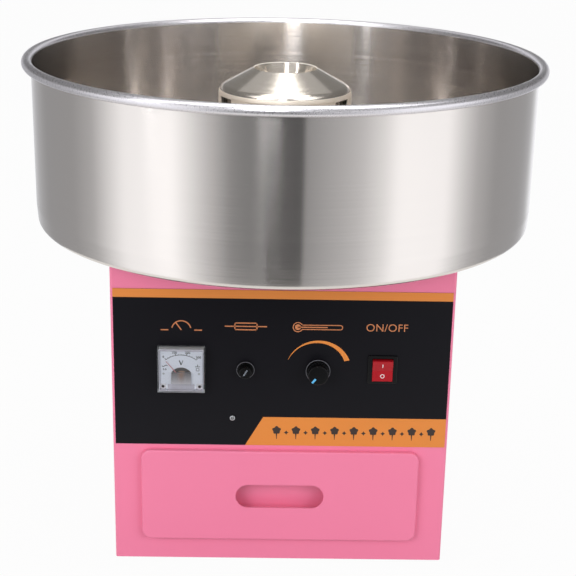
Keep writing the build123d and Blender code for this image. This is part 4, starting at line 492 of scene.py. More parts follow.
def piece_from(name, points, faces, material, body, sharp=35):
    """A mesh object at the origin, smooth but for edges sharper than so many degrees."""
    mesh = bpy.data.meshes.new(name)
    mesh.from_pydata(np.asarray(points, float).tolist(), [], np.asarray(faces).tolist())
    mesh.shade_smooth()
    mesh.set_sharp_from_angle(angle=math.radians(sharp))
    return set_down(name, mesh, material, body)


def outwards(points, faces):
    """Faces turned outwards: the sum of a . (b x c) over a closed surface is positive when they are."""
    a, b, c, d = (points[faces[:, k]] for k in range(4))
    volume = np.einsum("ij,ij->", a, np.cross(b, c)) + np.einsum("ij,ij->", a, np.cross(c, d))
    return faces if volume > 0 else faces[:, ::-1]


def rounded(corners, radii, steps=10):
    """A line through corners with round bends: each bend starts r tan(turn / 2) before its corner."""
    corners = np.asarray(corners, float)
    line = [corners[:1]]
    for before, corner, after, r in zip(corners[:-2], corners[1:-1], corners[2:], radii):
        came = (corner - before) / np.linalg.norm(corner - before)
        goes = (after - corner) / np.linalg.norm(after - corner)
        turn_by = math.atan2(came[0] * goes[1] - came[1] * goes[0], came @ goes)
        start = corner - came * r * math.tan(abs(turn_by) / 2)
        side = math.copysign(1, turn_by) * np.array([-came[1], came[0]])
        t = np.linspace(0, abs(turn_by), steps)[:, None]
        line.append(start + came * r * np.sin(t) + side * r * (1 - np.cos(t)))
    return np.vstack(line + [corners[-1:]])


def denser(line, step):
    """The same line with points at most a step apart, by linear interpolation along its length."""
    line = np.asarray(line, float)
    along = np.concatenate([[0], np.cumsum(np.linalg.norm(np.diff(line, axis=0), axis=1))])
    marks = np.unique(np.concatenate([along, np.arange(0, along[-1], step)]))
    return np.stack([np.interp(marks, along, line[:, k]) for k in (0, 1)], axis=-1)


def turned(section, angles):
    """A section of (radius, height) turned about Z: x = r cos a, y = r sin a, z = h."""
    r, h = section[:, 0], section[:, 1]
    return np.stack([np.outer(np.cos(angles), r), np.outer(np.sin(angles), r),
                     np.broadcast_to(h, (len(angles), len(h)))], axis=-1)


print("quads in a closed 4 x 3 grid:", len(grid_quads(4, 3, True, True)))

# %% [markdown]
# ## The bowl
# The real bowl is one disc of sheet, pressed on a lathe against a form: a flat floor with a
# collar round the middle hole, a round corner, a wall that leans out a little, and a rim rolled
# over a bead. Its mirror shows every facet of a coarse mesh, so its section is worked out
# again here and turned in steps of one degree. The rolled rim keeps the satin of the raw sheet,
# because the polishing wheel doesn't reach round it.

# %% Section of the bowl
bowl_low, bowl_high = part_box("bowl")
SHEET_T = 0.8 * MM
WALL_R = 250.9 * MM
FOOT_R = 249.0 * MM
HOLE_R = 85.0 * MM
COLLAR_Z = bowl_low.z + 14 * MM
BREAK_R, BREAK_Z = WALL_R - 0.4 * MM, bowl_low.z + 20 * MM
INNER_BENDS = np.array([3.0, 5.2, 40.0]) * MM
bead_r = (bowl_high.x - WALL_R + SHEET_T) / 2
bead_at = np.array([bowl_high.x - bead_r, bowl_high.z - bead_r])

outside = rounded([(HOLE_R, COLLAR_Z), (HOLE_R, bowl_low.z), (FOOT_R, bowl_low.z), (BREAK_R, BREAK_Z),
                   (WALL_R, bead_at[1])], INNER_BENDS + SHEET_T)
inside = rounded([(HOLE_R + SHEET_T, COLLAR_Z), (HOLE_R + SHEET_T, bowl_low.z + SHEET_T),
                  (FOOT_R - SHEET_T, bowl_low.z + SHEET_T), (BREAK_R - SHEET_T, BREAK_Z),
                  (WALL_R - SHEET_T, bead_at[1])], INNER_BENDS)
ROLL_DEGREES = 305
curl = np.radians(180 - np.linspace(0, ROLL_DEGREES, 40))[:, None]
roll_out = bead_at + bead_r * np.hstack([np.cos(curl), np.sin(curl)])
roll_in = bead_at + (bead_r - SHEET_T) * np.hstack([np.cos(curl), np.sin(curl)])
SECTION_STEP = 8 * MM
section = np.vstack([denser(outside, SECTION_STEP)[:-1], roll_in, roll_out[::-1],
                     denser(inside, SECTION_STEP)[-2::-1]])
print("points in the section:", len(section), "bead radius mm:", round(bead_r / MM, 2))

# %% Bowl
angles = np.radians(np.arange(0, 360, 1.0))
points = turned(section, angles).reshape(-1, 3)
faces = outwards(points, grid_quads(len(angles), len(section), True, True))
bowl_skin = piece_from("bowl_skin", points, faces, stainless, "lift_off_bowl", sharp=50)
bowl_skin.data.materials.append(rim_satin)
middles = points[faces].mean(axis=1)
on_bead = (middles[:, 2] > bead_at[1]) | (np.hypot(middles[:, 0], middles[:, 1]) > WALL_R + 0.3 * MM)
bowl_skin.data.polygons.foreach_set("material_index", on_bead.astype(np.int32))
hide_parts("bowl")
print("bowl quads:", len(faces), "rim radius mm:", round(bowl_high.x / MM, 1))

# %% [markdown]
# ## The spinner's cover
# A polished cone with an open mouth for the sugar, over a short skirt with three notches. The
# skirt is left satin, so it looks pale and even where the cone mirrors the bowl, and the inside
# and the sugar cup are dulled white. A face's finish goes by its height and its side. Cutting the
# notches with a Boolean would leave long thin faces in the mirror. Here the skirt's lower edge is
# a function of the angle: inside a notch it jumps up to the shoulder. Two columns of the grid
# stand almost together at each side of a notch, so the jump is a clean vertical edge.

# %% Section and notches of the cover
cover_low, cover_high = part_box("spinner_cover")
cover_r, skirt_z, mouth_z = cover_high.x, cover_low.z, cover_high.z
COVER_T = 1.0 * MM
MOUTH_R = 32 * MM
SHOULDER_Z = mouth_z - 19 * MM
SHOULDER_BEND = 11 * MM
BEND_STEPS = 18
NOTCH_TOP = SHOULDER_Z - 6 * MM
NOTCH_WIDTH = 24 * MM
NOTCHES = np.array([-33.0, 87.0, 207.0])

cone_out = rounded([(MOUTH_R, mouth_z), (cover_r, SHOULDER_Z), (cover_r, NOTCH_TOP)],
                   [SHOULDER_BEND], BEND_STEPS)
cone_in = rounded([(MOUTH_R, mouth_z - 1.1 * COVER_T), (cover_r - COVER_T, SHOULDER_Z - 0.6 * COVER_T),
                   (cover_r - COVER_T, NOTCH_TOP)], [SHOULDER_BEND - COVER_T], BEND_STEPS)
notch_half = math.degrees(math.asin(NOTCH_WIDTH / 2 / cover_r))
edges = (NOTCHES[:, None] + np.array([-1.0, 1.0]) * notch_half).ravel()
EDGE_GAP = 0.02    # degrees between the two columns at a notch's side
pairs = np.concatenate([edges - EDGE_GAP, edges + EDGE_GAP])
angles = np.sort(np.concatenate([np.arange(0, 360, 2.0), pairs % 360]))
off = np.abs((angles[:, None] - NOTCHES + 180) % 360 - 180).min(axis=1)
drop = np.where(off < notch_half, 0.0, NOTCH_TOP - skirt_z)
rows = np.linspace(0, 1, 6)[1:]
print("notch half width in degrees:", round(notch_half, 1))


# %% Spinner cover
def with_skirt(section):
    """The turned section, then skirt rows that go straight down by a share of the drop at each angle."""
    top = turned(denser(section, 4 * MM), np.radians(angles))
    last = top[:, -1:, :]
    skirt = np.repeat(last, len(rows), axis=1)
    skirt[:, :, 2] -= drop[:, None] * rows
    return np.concatenate([top, skirt], axis=1)


outer_grid, inner_grid = with_skirt(cone_out), with_skirt(cone_in)
points = np.concatenate([outer_grid, inner_grid[:, ::-1, :]], axis=1)
shape = points.shape[:2]
points = points.reshape(-1, 3)
faces = outwards(points, grid_quads(*shape, True, True))
a, b, c, d = (points[faces[:, k]] for k in range(4))
area = np.linalg.norm(np.cross(b - a, c - a), axis=1) + np.linalg.norm(np.cross(c - a, d - a), axis=1)
is_inner = np.arange(len(faces)) % shape[1] >= outer_grid.shape[1]
is_inner, faces = is_inner[area > 1e-12], faces[area > 1e-12]
cover_skin = piece_from("spinner_cover_skin", points, faces, cone_steel, "spinner", sharp=40)
cover_skin.data.materials.append(satin_steel)
cover_skin.data.materials.append(sugared)
is_skirt = points[faces][:, :, 2].mean(axis=1) < SHOULDER_Z - 2 * MM
CONE_FACE, SKIRT_FACE, INNER_FACE = 0, 1, 2
finish = np.where(is_inner, INNER_FACE, np.where(is_skirt, SKIRT_FACE, CONE_FACE))
cover_skin.data.polygons.foreach_set("material_index", finish.astype(np.int32))
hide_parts("spinner_cover")
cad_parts["sugar_cup"].material_slots[0].material = sugared
print("cover quads:", len(faces), "of them on the skirt:", int(is_skirt.sum()))

# %% [markdown]
# The sugar goes in through the cone's mouth, down a short bright collar that leads into the cup.
# It is a thin cone of its own, because its polished inside is the brightest thing in the head.

# %% Mouth collar
cup_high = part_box("sugar_cup")[1]
COLLAR_T = 0.6 * MM
collar_line = denser([(MOUTH_R - 0.8 * MM, mouth_z - 0.6 * MM),
                      (cup_high.x - 0.4 * MM, cup_high.z + 0.3 * MM)], 3 * MM)
section = np.vstack([collar_line, (collar_line + np.array([COLLAR_T, -0.1 * MM]))[::-1]])
points = turned(section, np.radians(np.arange(0, 360, 3.0)))
faces = grid_quads(*points.shape[:2], True, True)
points = points.reshape(-1, 3)
piece_from("mouth_collar", points, outwards(points, faces), cone_steel, "spinner")
print("collar from the mouth down to the cup, mm:", round((mouth_z - cup_high.z) / MM, 1))

# %% [markdown]
# ## Print on the panel
# Screen print is a few hundredths of a millimetre of ink. An image on the film would be the usual
# way, but a mesh stays sharp at any distance and needs no file. So each mark is a flat mesh that
# lies 0.05 mm in front of the film. All of them are drawn in the panel's own X and Z, in
# millimetres, as outlines or as strokes along a line. The marks above the controls are the plain
# symbols that a drawing would use: a gauge, a fuse, a thermometer, and ON/OFF over the switch.

# %% Helpers for print
INK = 0.05


def stroke(line, width):
    """A band along a line: its two edges lie half the width to each side, along the line's normal."""
    line = np.asarray(line, float)
    along = np.gradient(line, axis=0)
    normal = np.stack([-along[:, 1], along[:, 0]], axis=-1)
    normal /= np.linalg.norm(normal, axis=1)[:, None]
    half = np.asarray(width, float).reshape(-1, 1) / 2
    return np.vstack([line + normal * half, (line - normal * half)[::-1]])


def arc(x, z, radius, start, stop, steps=40):
    """Points on a circle, from one angle in degrees to another, counted from +X towards +Z."""
    t = np.radians(np.linspace(start, stop, steps))
    return np.stack([x + radius * np.cos(t), z + radius * np.sin(t)], axis=-1)


def bar(x0, x1, z0, z1):
    """A rectangle from its left, right, lower and upper edges."""
    return np.array([(x0, z0), (x1, z0), (x1, z1), (x0, z1)], float)


def printed(name, outlines, y_mm, material, body, place=None):
    """Flat outlines in X and Z, in mm, as one mesh at a depth, its faces towards the front."""
    areas = [np.sum(o[:, 0] * np.roll(o[:, 1], -1) - np.roll(o[:, 0], -1) * o[:, 1]) for o in outlines]
    flat = np.vstack([o if area > 0 else o[::-1] for o, area in zip(outlines, areas)])
    points = np.insert(flat, 1, y_mm, axis=1) * MM
    ends = np.cumsum([len(o) for o in outlines])
    faces = np.split(np.arange(len(flat)), ends[:-1])
    mesh = bpy.data.meshes.new(name)
    mesh.from_pydata(points.tolist(), [], [face.tolist() for face in faces])
    if place:
        mesh.transform(place)
    return set_down(name, mesh, material, body)


CAPITAL_SHARE = 0.73    # height of a capital in the built-in font, of its size


def lettering(name, words, x, z, height_mm, y_mm, material, body, spacing=1.0, bolder_mm=0.0):
    """Letters of the built-in font as a flat mesh: made in XY, then stood up to face the front."""
    curve = bpy.data.curves.new(name, "FONT")
    curve.body = words
    curve.align_x = "CENTER"
    curve.align_y = "CENTER"
    curve.size = height_mm * MM / CAPITAL_SHARE
    curve.space_character = spacing
    curve.offset = bolder_mm * MM
    written = bpy.data.objects.new(name + "_curve", curve)
    bpy.context.scene.collection.objects.link(written)
    bpy.context.view_layer.update()
    mesh = bpy.data.meshes.new_from_object(written.evaluated_get(bpy.context.evaluated_depsgraph_get()))
    bpy.data.objects.remove(written)
    mesh.name = name
    mesh.transform(Matrix.Rotation(math.radians(90), 4, "X"))
    mesh.transform(Matrix.Translation((x * MM, y_mm * MM, z * MM)))
    mesh.materials.clear()
    return set_down(name, mesh, material, body)


film_low, film_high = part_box("control_overlay")
FILM_Y = film_low.y / MM
FILM_X0, FILM_X1 = film_low.x / MM, film_high.x / MM
FILM_Z0, FILM_Z1 = film_low.z / MM, film_high.z / MM
INK_Y = FILM_Y - INK
print("film from z", round(FILM_Z0, 1), "to", round(FILM_Z1, 1), "mm")

# %% [markdown]
# An orange stripe closes the panel at its top and a slanted banner at its foot. The arc over the
# knob swells from cool to hot. It is the band between a circle and the same circle drawn in by a
# depth that grows along it.

# %% Stripe, banner and heat arc
METER_X, FUSE_X, KNOB_X, SWITCH_X = -95.7, -34.7, 34.5, 96.1
CONTROL_Z, METER_Z, SWITCH_Z = 216.0, 217.0, 218.0
LABEL_Z = 259.9
STRIPE_HEIGHT = 8.5
BANNER_TOP, BANNER_FOOT_X, BANNER_TOP_X = 166.7, -34.5, -17.2
HEAT_X, HEAT_Z, HEAT_R = KNOB_X + 0.5, 215.0, 31.6
COOL_WIDTH, SWELL = 0.3, 4.6

stripe = bar(FILM_X0, FILM_X1, FILM_Z1 - STRIPE_HEIGHT, FILM_Z1)
banner = np.array([(BANNER_FOOT_X, FILM_Z0), (FILM_X1, FILM_Z0), (FILM_X1, BANNER_TOP),
                   (BANNER_TOP_X, BANNER_TOP)])
outer = arc(HEAT_X, HEAT_Z, HEAT_R, 158, 22, 60)
inner = arc(HEAT_X, HEAT_Z, HEAT_R, 158, 24, 60)
depth = COOL_WIDTH + SWELL * np.linspace(0, 1, 60) ** 1.1
inward = (inner - np.array([HEAT_X, HEAT_Z])) / HEAT_R
crescent = np.vstack([outer, (inner - inward * depth[:, None])[::-1]])
printed("panel_stripe_and_banner", [stripe, banner], INK_Y, orange_ink, "cabinet")
printed("heat_arc", [crescent], INK_Y, orange_ink, "cabinet")
print("banner top at", BANNER_TOP, "mm")

# %% Symbols over the controls
LINE = 1.1
gauge = [stroke(arc(METER_X, LABEL_Z - 4.2, 9.0, 12, 168), LINE),
         stroke([(METER_X, LABEL_Z - 4.4), (METER_X - 5.0, LABEL_Z + 2.6)], LINE),
         bar(METER_X - 19.5, METER_X - 12.2, LABEL_Z - 5.0, LABEL_Z - 3.9),
         bar(METER_X + 12.2, METER_X + 19.5, LABEL_Z - 5.0, LABEL_Z - 3.9)]
LEAD_REACH, FUSE_HALF, FUSE_HIGH = 20, 11, 3.9
fuse_mark = [stroke([(FUSE_X - LEAD_REACH, LABEL_Z), (FUSE_X + LEAD_REACH, LABEL_Z)], LINE),
             bar(FUSE_X - FUSE_HALF, FUSE_X + FUSE_HALF, LABEL_Z + FUSE_HIGH - LINE, LABEL_Z + FUSE_HIGH),
             bar(FUSE_X - FUSE_HALF, FUSE_X + FUSE_HALF, LABEL_Z - FUSE_HIGH, LABEL_Z - FUSE_HIGH + LINE),
             bar(FUSE_X - FUSE_HALF, FUSE_X - FUSE_HALF + LINE, LABEL_Z - FUSE_HIGH, LABEL_Z + FUSE_HIGH),
             bar(FUSE_X + FUSE_HALF - LINE, FUSE_X + FUSE_HALF, LABEL_Z - FUSE_HIGH, LABEL_Z + FUSE_HIGH)]
BULB_X, TUBE_END = KNOB_X - 20, KNOB_X + 20
tube = np.vstack([arc(BULB_X, LABEL_Z, 4.6, 28, 332, 40), arc(TUBE_END, LABEL_Z, 2.2, -90, 90, 16)])
thermometer = [stroke(np.vstack([tube, tube[:1]]), 0.9), arc(BULB_X, LABEL_Z, 2.9, 0, 354, 40),
               bar(BULB_X, KNOB_X + 8, LABEL_Z - LINE / 2, LABEL_Z + LINE / 2)]
printed("symbols", gauge + fuse_mark + thermometer, INK_Y, label_ink, "cabinet")
ON_OFF_X, ON_OFF_HEIGHT = 98.9, 7.8
lettering("on_off_letters", "ON/OFF", ON_OFF_X, LABEL_Z, ON_OFF_HEIGHT, INK_Y, label_ink, "cabinet",
          spacing=1.05)
print("symbols at z", LABEL_Z)

# %% [markdown]
# The banner's dark ornament is a row of floss clouds on sticks with small stars between them. A
# cloud's outline is a circle whose radius waves five times round, and a star's is an astroid.
# Both are formulas, so a row of any length costs two lines.

# %% Ornament in the banner
STICK_FOOT, CLOUD_RISE = 7.0, 2.4


def cloud_on_stick(x, z, size):
    """Outline r = a (1 + 0.13 cos 5t), and a stick that narrows to its foot."""
    t = np.linspace(0, 2 * np.pi, 60)[:-1]
    r = size * (1 + 0.13 * np.cos(5 * (t - np.pi / 2)))
    cloud = np.stack([x + r * np.cos(t), z + CLOUD_RISE + r * np.sin(t)], axis=-1)
    stick_top = z + CLOUD_RISE - size * 0.8
    stick = np.array([(x - 0.75, stick_top), (x + 0.75, stick_top), (x + 0.25, z - STICK_FOOT),
                      (x - 0.25, z - STICK_FOOT)])
    return [cloud, stick]


def star(x, z, size):
    """Astroid: x = a cos^3 t, z = a sin^3 t."""
    t = np.linspace(0, 2 * np.pi, 49)[:-1]
    return np.stack([x + size * np.cos(t) ** 3, z + size * np.sin(t) ** 3], axis=-1)


ORNAMENT_X0, ORNAMENT_X1, ORNAMENT_Z = -4.0, 146.0, 150.6
CLOUD_R, STAR_R = 3.9, 2.6
ornament = []
for number, x in enumerate(np.linspace(ORNAMENT_X0, ORNAMENT_X1, 17)):
    ornament += [star(x, ORNAMENT_Z, STAR_R)] if number % 2 else cloud_on_stick(x, ORNAMENT_Z, CLOUD_R)
printed("banner_ornament", ornament, INK_Y - INK, dark_ink_and_shade, "cabinet")
print("ornament marks:", len(ornament))

# %% [markdown]
# ## The meter's face
# A moving-iron meter has a short arc of scale with a number every hundred, one letter for the
# unit, its accuracy class and its standing mark, and a half-moon opening through which its coil
# shows against painted shade, a dark sheet for the meter's shadowed inside. Two rivets hold the
# dial. The scale's marks all stand on circles about the needle's pivot, so one function places
# them by angle and distance from it.

# %% Dial print
DIAL_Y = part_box("meter_dial")[0].y / MM
PIVOT_Z = METER_Z - 8.6
SWING = 37.6
SCALE_R = 23.6
TICKS, MAJOR_EVERY = 12, 4


def on_dial(degrees, radius):
    """A point of the dial, from an angle to the left of straight up and a distance from the pivot."""
    lean = math.radians(90 + degrees)
    return METER_X + radius * math.cos(lean), PIVOT_Z + radius * math.sin(lean)


marks = [stroke(arc(METER_X, PIVOT_Z, SCALE_R, 90 + SWING, 90 - SWING, 50), 0.55)]
for step in range(TICKS + 1):
    lean = SWING * (1 - 2 * step / TICKS)
    length, width = (1.0, 0.4) if step % MAJOR_EVERY else (1.9, 0.6)
    marks.append(stroke([on_dial(lean, SCALE_R), on_dial(lean, SCALE_R + length)], width))

UNIT_Z, UNIT_HALF_W, UNIT_HALF_H = METER_Z + 7.2, 1.75, 2.3
SIDE_X = 15.6
SIGN_X = METER_X + SIDE_X
CLASS_Z, FOOT_LINE_Z = METER_Z + 0.3, METER_Z + 3.2
marks += [stroke([(METER_X - UNIT_HALF_W, UNIT_Z + UNIT_HALF_H), (METER_X, UNIT_Z - UNIT_HALF_H)], 1.1),
          stroke([(METER_X, UNIT_Z - UNIT_HALF_H), (METER_X + UNIT_HALF_W, UNIT_Z + UNIT_HALF_H)], 0.7)]
wave = np.linspace(-1, 1, 30)
wave_mark = np.stack([METER_X - SIDE_X + 2.6 * wave, METER_Z + 3.8 + 0.7 * np.sin(wave * np.pi)], axis=-1)
marks += [stroke(wave_mark, 0.7),
          stroke([(SIGN_X - 2.4, FOOT_LINE_Z), (SIGN_X + 2.4, FOOT_LINE_Z)], 0.7),
          stroke([(SIGN_X, FOOT_LINE_Z), (SIGN_X, FOOT_LINE_Z + 2.2)], 0.7)]
square = np.array([SIGN_X, CLASS_Z]) + 1.3 * np.array([(-1, -1), (1, -1), (1, 1), (-1, 1)])
marks += [stroke([square[k], square[(k + 1) % 4]], 0.45) for k in range(4)]
printed("dial_scale", marks, DIAL_Y - INK, dial_ink, "cabinet")
print("dial marks:", len(marks))

# %% Numbers and rivets of the dial
# Each text, its place from the middle of the meter, and its height, in mm.
TEXTS = {"dial_number_0": ("0", -16.9, 12.9, 2.2), "dial_number_100": ("100", -6.4, 17.3, 2.2),
         "dial_number_200": ("200", 6.2, 17.3, 2.2), "dial_number_300": ("300", 16.4, 12.7, 2.2),
         "dial_class": ("2.5", -SIDE_X, CLASS_Z - METER_Z, 1.9)}
for name, (text, x, z, height) in TEXTS.items():
    lettering(name, text, METER_X + x, METER_Z + z, height, DIAL_Y - INK, dial_ink, "cabinet",
              spacing=1.1, bolder_mm=0.12)


def discs(spread, z, radius):
    """Two small round plates, one to each side of the middle of the meter."""
    return [arc(METER_X + side * spread, z, radius, 0, 345, 24) for side in (-1, 1)]


printed("dial_rivets", discs(16.8, METER_Z - 4.2, 1.1), DIAL_Y - 2 * INK, zinc, "cabinet")
print("texts on the dial:", [text[0] for text in TEXTS.values()])

# %% [markdown]
# Behind the half-moon opening lies painted shade, a dark sheet where the meter's inside is in shadow, and a
# painted glint shows where the brown coil catches the light at its sill.
# A milky frame stands between the dial and the clear walls, and a white plate behind the dial's
# cut corners closes them round the screws. All are thin and flat, so outlines at their own depths
# are enough, but the frame is a closed square tube, because its inner side shows through the cover.

# %% Window of the dial
WINDOW_R, SILL = 11.2, 5.2
SHADE_BACK, COIL_BACK = 0.75, 0.70
sill_angle = math.degrees(math.asin(SILL / WINDOW_R))
# The dark half-moon is painted shade: a sheet where the inside of the meter is in shadow.
shade_moon = arc(METER_X, PIVOT_Z, WINDOW_R, sill_angle, 180 - sill_angle, 40)
printed("meter_window_painted_shade", [shade_moon], DIAL_Y + SHADE_BACK, dark_ink_and_shade, "cabinet")
# The brown oval is the coil's colour with a painted glint, the light it catches at the sill.
t = np.linspace(0, 2 * np.pi, 40)[:-1]
coil_glint = np.stack([METER_X + 0.3 + 3.1 * np.cos(t), PIVOT_Z + SILL + 1.0 + 1.2 * np.sin(t)], axis=-1)
printed("meter_coil_glint", [coil_glint], DIAL_Y + COIL_BACK, coil_glint_brown, "cabinet")
print("window sill above the pivot, mm:", SILL)

# %% Frame and backing of the dial
glass_low, glass_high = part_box("meter_cover")
METER_HALF = (glass_high.x - glass_low.x) / 2 / MM
GLASS_Y = glass_low.y / MM
COVER_WALL = 1.2
CASE_DEPTH = 3.2
FRAME_WALL = 0.82
LIFT = 0.03


def square_ring(outer, inner, y0, y1):
    """A square tube round the meter's centre: four corners carried along a small rectangular section."""
    corner = np.array([(-1, -1), (1, -1), (1, 1), (-1, 1)])
    loops = [np.insert(np.array([METER_X, METER_Z]) + half * corner, 1, y, axis=1)
             for half, y in ((outer, y0), (outer, y1), (inner, y1), (inner, y0))]
    return np.stack(loops) * MM


room = METER_HALF - COVER_WALL
points = square_ring(room - LIFT, room - LIFT - FRAME_WALL, GLASS_Y + COVER_WALL + INK,
                     FILM_Y - CASE_DEPTH - 0.02).reshape(-1, 3)
piece_from("meter_liner", points, outwards(points, grid_quads(4, 4, True, True)), milky, "cabinet")
plate_half = room - 0.9
PLATE_TOP = METER_Z - 13.8
plate = bar(METER_X - plate_half, METER_X + plate_half, METER_Z - plate_half, PLATE_TOP)
printed("meter_backing", [plate], FILM_Y - CASE_DEPTH - INK, backing, "cabinet")
print("meter half width mm:", round(METER_HALF, 2))

# %% [markdown]
# The clear cover is moulded with fine upright ribs low down, in front of the coil. They blur it
# into soft upright stripes, dark above where the opening is and pale below, with a brown one in the
# middle from the coil's copper. Lenses that small would need far more samples than the whole
# machine, so a ribbed block with that gradient stands for them: its dark top is painted shade, and
# its stripes are painted light and shade.

# %% Shape of the ribs
RIBS_TOP, RIBS_FOOT = METER_Z - 2.6, METER_Z - 14.2
RIB_PITCH, RIB_HEIGHT = 1.15, 0.42
RIBS_A_SIDE = 9.7 / RIB_PITCH
HALF_TOP, FLARE = 9.3, 0.5
BLOCK_BACK, BLOCK_FACE = 1.80, 1.78

across = np.linspace(-1, 1, 241)[:, None]
down = np.linspace(0, 1, 24)[None, :]
x = METER_X + across * (HALF_TOP + FLARE * down)
z = RIBS_TOP + (RIBS_FOOT - RIBS_TOP) * down + 0 * across
fade = np.sqrt(np.clip(1 - np.abs(across) ** 8, 0, 1)) * np.sin(np.pi * np.clip(down, 0.02, 0.98)) ** 0.3
y = GLASS_Y + BLOCK_FACE - RIB_HEIGHT * fade * (0.6 + 0.4 * np.cos(across * RIBS_A_SIDE * 2 * np.pi))
front_side = np.stack([x, y + 0 * z, z], axis=-1) * MM
back_side = np.stack([x, 0 * z + GLASS_Y + BLOCK_BACK, z], axis=-1) * MM
points = np.concatenate([front_side, back_side[:, ::-1]], axis=1)
faces = grid_quads(points.shape[0], points.shape[1], False, True)
points = points.reshape(-1, 3)
print("rib block", RIB_HEIGHT, "mm high, ribs every", RIB_PITCH, "mm")

# %% Finish of the ribs
# Frosted ribs give soft upright stripes, grey at the top, pale at the foot and brown in the middle. The grey
# top is painted shade, and the stripes are painted light and shade.
ribs_clear, tree, shader = finish_named("acrylic, ribbed, with painted light and shade", Roughness=0.35, IOR=ACRYLIC_IOR,
                                        Alpha=0.88)
place = add(tree, "ShaderNodeTexCoord").outputs["Object"]
xyz = add(tree, "ShaderNodeSeparateXYZ", {0: place})
# Painted shade: darker towards the top, where the shadowed opening lies behind.
fall = add(tree, "ShaderNodeMapRange", {"Value": xyz.outputs["Z"]},
           {"From Min": RIBS_TOP * MM, "From Max": RIBS_FOOT * MM})
grey = add(tree, "ShaderNodeMix", {"Factor": fall.outputs[0]},
           {"A": linear("#6A6467"), "B": linear("#D8D4DA")}, data_type="RGBA")
aside = add(tree, "ShaderNodeMath", {0: xyz.outputs["X"]}, {1: METER_X * MM}, operation="SUBTRACT")
aside = add(tree, "ShaderNodeMath", {0: aside.outputs[0]}, operation="ABSOLUTE")
middle = add(tree, "ShaderNodeMapRange", {"Value": aside.outputs[0]},
             {"From Min": 0.6 * MM, "From Max": 4.2 * MM, "To Min": 0.75, "To Max": 0.0})
upper = add(tree, "ShaderNodeMapRange", {"Value": fall.outputs[0]},
            {"From Min": 0.25, "From Max": 0.8, "To Min": 1.0, "To Max": 0.15})
coil_seen = add(tree, "ShaderNodeMath", {0: middle.outputs[0], 1: upper.outputs[0]}, operation="MULTIPLY")
tinted = add(tree, "ShaderNodeMix", {"Factor": coil_seen.outputs[0], "A": grey.outputs["Result"]},
             {"B": linear("#A87C64")}, data_type="RGBA")
# Painted light and shade of the ribs: the colour rises and falls with the rib pitch.
stripe_at = add(tree, "ShaderNodeMath", {0: xyz.outputs["X"]}, {1: 2 * math.pi / (RIB_PITCH * MM)},
                operation="MULTIPLY")
stripes = add(tree, "ShaderNodeMath", {0: stripe_at.outputs[0]}, operation="SINE")
shade = add(tree, "ShaderNodeMapRange", {"Value": stripes.outputs[0]},
            {"From Min": -1.0, "From Max": 1.0, "To Min": 0.80, "To Max": 1.12})
striped = add(tree, "ShaderNodeVectorMath", {0: tinted.outputs["Result"], "Scale": shade.outputs[0]},
              operation="SCALE")
tree.links.new(striped.outputs[0], shader.inputs["Base Color"])
piece_from("meter_ribs", points, outwards(points, faces), ribs_clear, "cabinet")
print(ribs_clear.name)

# %% Frosted band and painted sheen of the cover
# A frosted band is a faint grey haze at the cover's foot. The band along its top edge is a painted sheen, the
# light that the cover's top wall catches.
frost, tree, shader = finish_named("acrylic, frosted foot and painted sheen of the cover", Roughness=0.5, IOR=ACRYLIC_IOR,
                                   Alpha=0.4)
shader.inputs["Base Color"].default_value = linear("#C4BAC6")
FOOT_HALF, FOOT_LOW = 12.8, METER_Z - 20.6
TOP_HALF, TOP_EDGE = METER_HALF - 1.4, METER_Z + METER_HALF
haze_and_sheen_bands = [bar(METER_X - FOOT_HALF, METER_X + FOOT_HALF, FOOT_LOW, RIBS_FOOT),
               bar(METER_X - TOP_HALF, METER_X + TOP_HALF, TOP_EDGE - 3.2, TOP_EDGE - 1.4)]
printed("meter_frost_and_painted_sheen", haze_and_sheen_bands, GLASS_Y + COVER_WALL + 2 * INK, frost, "cabinet")
print("bands:", len(haze_and_sheen_bands))

# %% [markdown]
# The meter's two screws are seen down the holes of the cover, so each head gets a dark cap, the
# painted shade in its recess, and a white collar. The film's own screw is bright, with a painted
# shade ring round its middle where a groove would be dark, and the coin slot of the fuse cap has a
# plated contact at its floor. A new finish on the whole screw would colour its shank too, so thin
# rings on the heads are the better way.

# %% Small rings
SCREW_SPREAD, SCREW_RISE = 17.4, 5.0
SCREW_Z = METER_Z - METER_HALF + SCREW_RISE
HEAD_FACE = FILM_Y - CASE_DEPTH - 1.75
# The dark caps are painted shade in the screws' recesses.
printed("meter_screw_painted_shade", discs(SCREW_SPREAD, SCREW_Z, 1.45), HEAD_FACE, dark_ink_and_shade, "cabinet")
collars = [stroke(arc(METER_X + side * SCREW_SPREAD, SCREW_Z, 2.35, 0, 360, 33), 1.7) for side in (-1, 1)]
printed("meter_screw_collars", collars, HEAD_FACE, backing, "cabinet")
FILM_SCREW = (-46.9, 165.6)
FILM_SCREW_HEAD = 1.6
# The dark ring is painted shade, where a groove round the head's middle would be dark.
shade_ring = [stroke(arc(*FILM_SCREW, 1.3, 0, 360, 33), 0.55)]
printed("film_screw_painted_shade", shade_ring, FILM_Y - FILM_SCREW_HEAD - INK, dark_ink_and_shade, "cabinet")

cap_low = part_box("fuse_cap")[0]
SLOT_TURN = math.radians(60.0)
SLOT_DEPTH, SLOT_HALF, SLOT_WIDTH = 1.2, 3.7, 1.6
slot_end = SLOT_HALF * np.array([math.cos(SLOT_TURN), math.sin(SLOT_TURN)])
fuse_at = np.array([FUSE_X, CONTROL_Z])
slot_floor = stroke([fuse_at - slot_end, fuse_at + slot_end], SLOT_WIDTH)
printed("fuse_slot_floor", [slot_floor], cap_low.y / MM + SLOT_DEPTH - INK, plated, "fuse_grip")
print("rings and slot floor placed")

# %% [markdown]
# ## Marks and edges of the knob, the fuse and the switch
# The knob has a light-blue inlay from its face to its rim, drawn flat on its face.

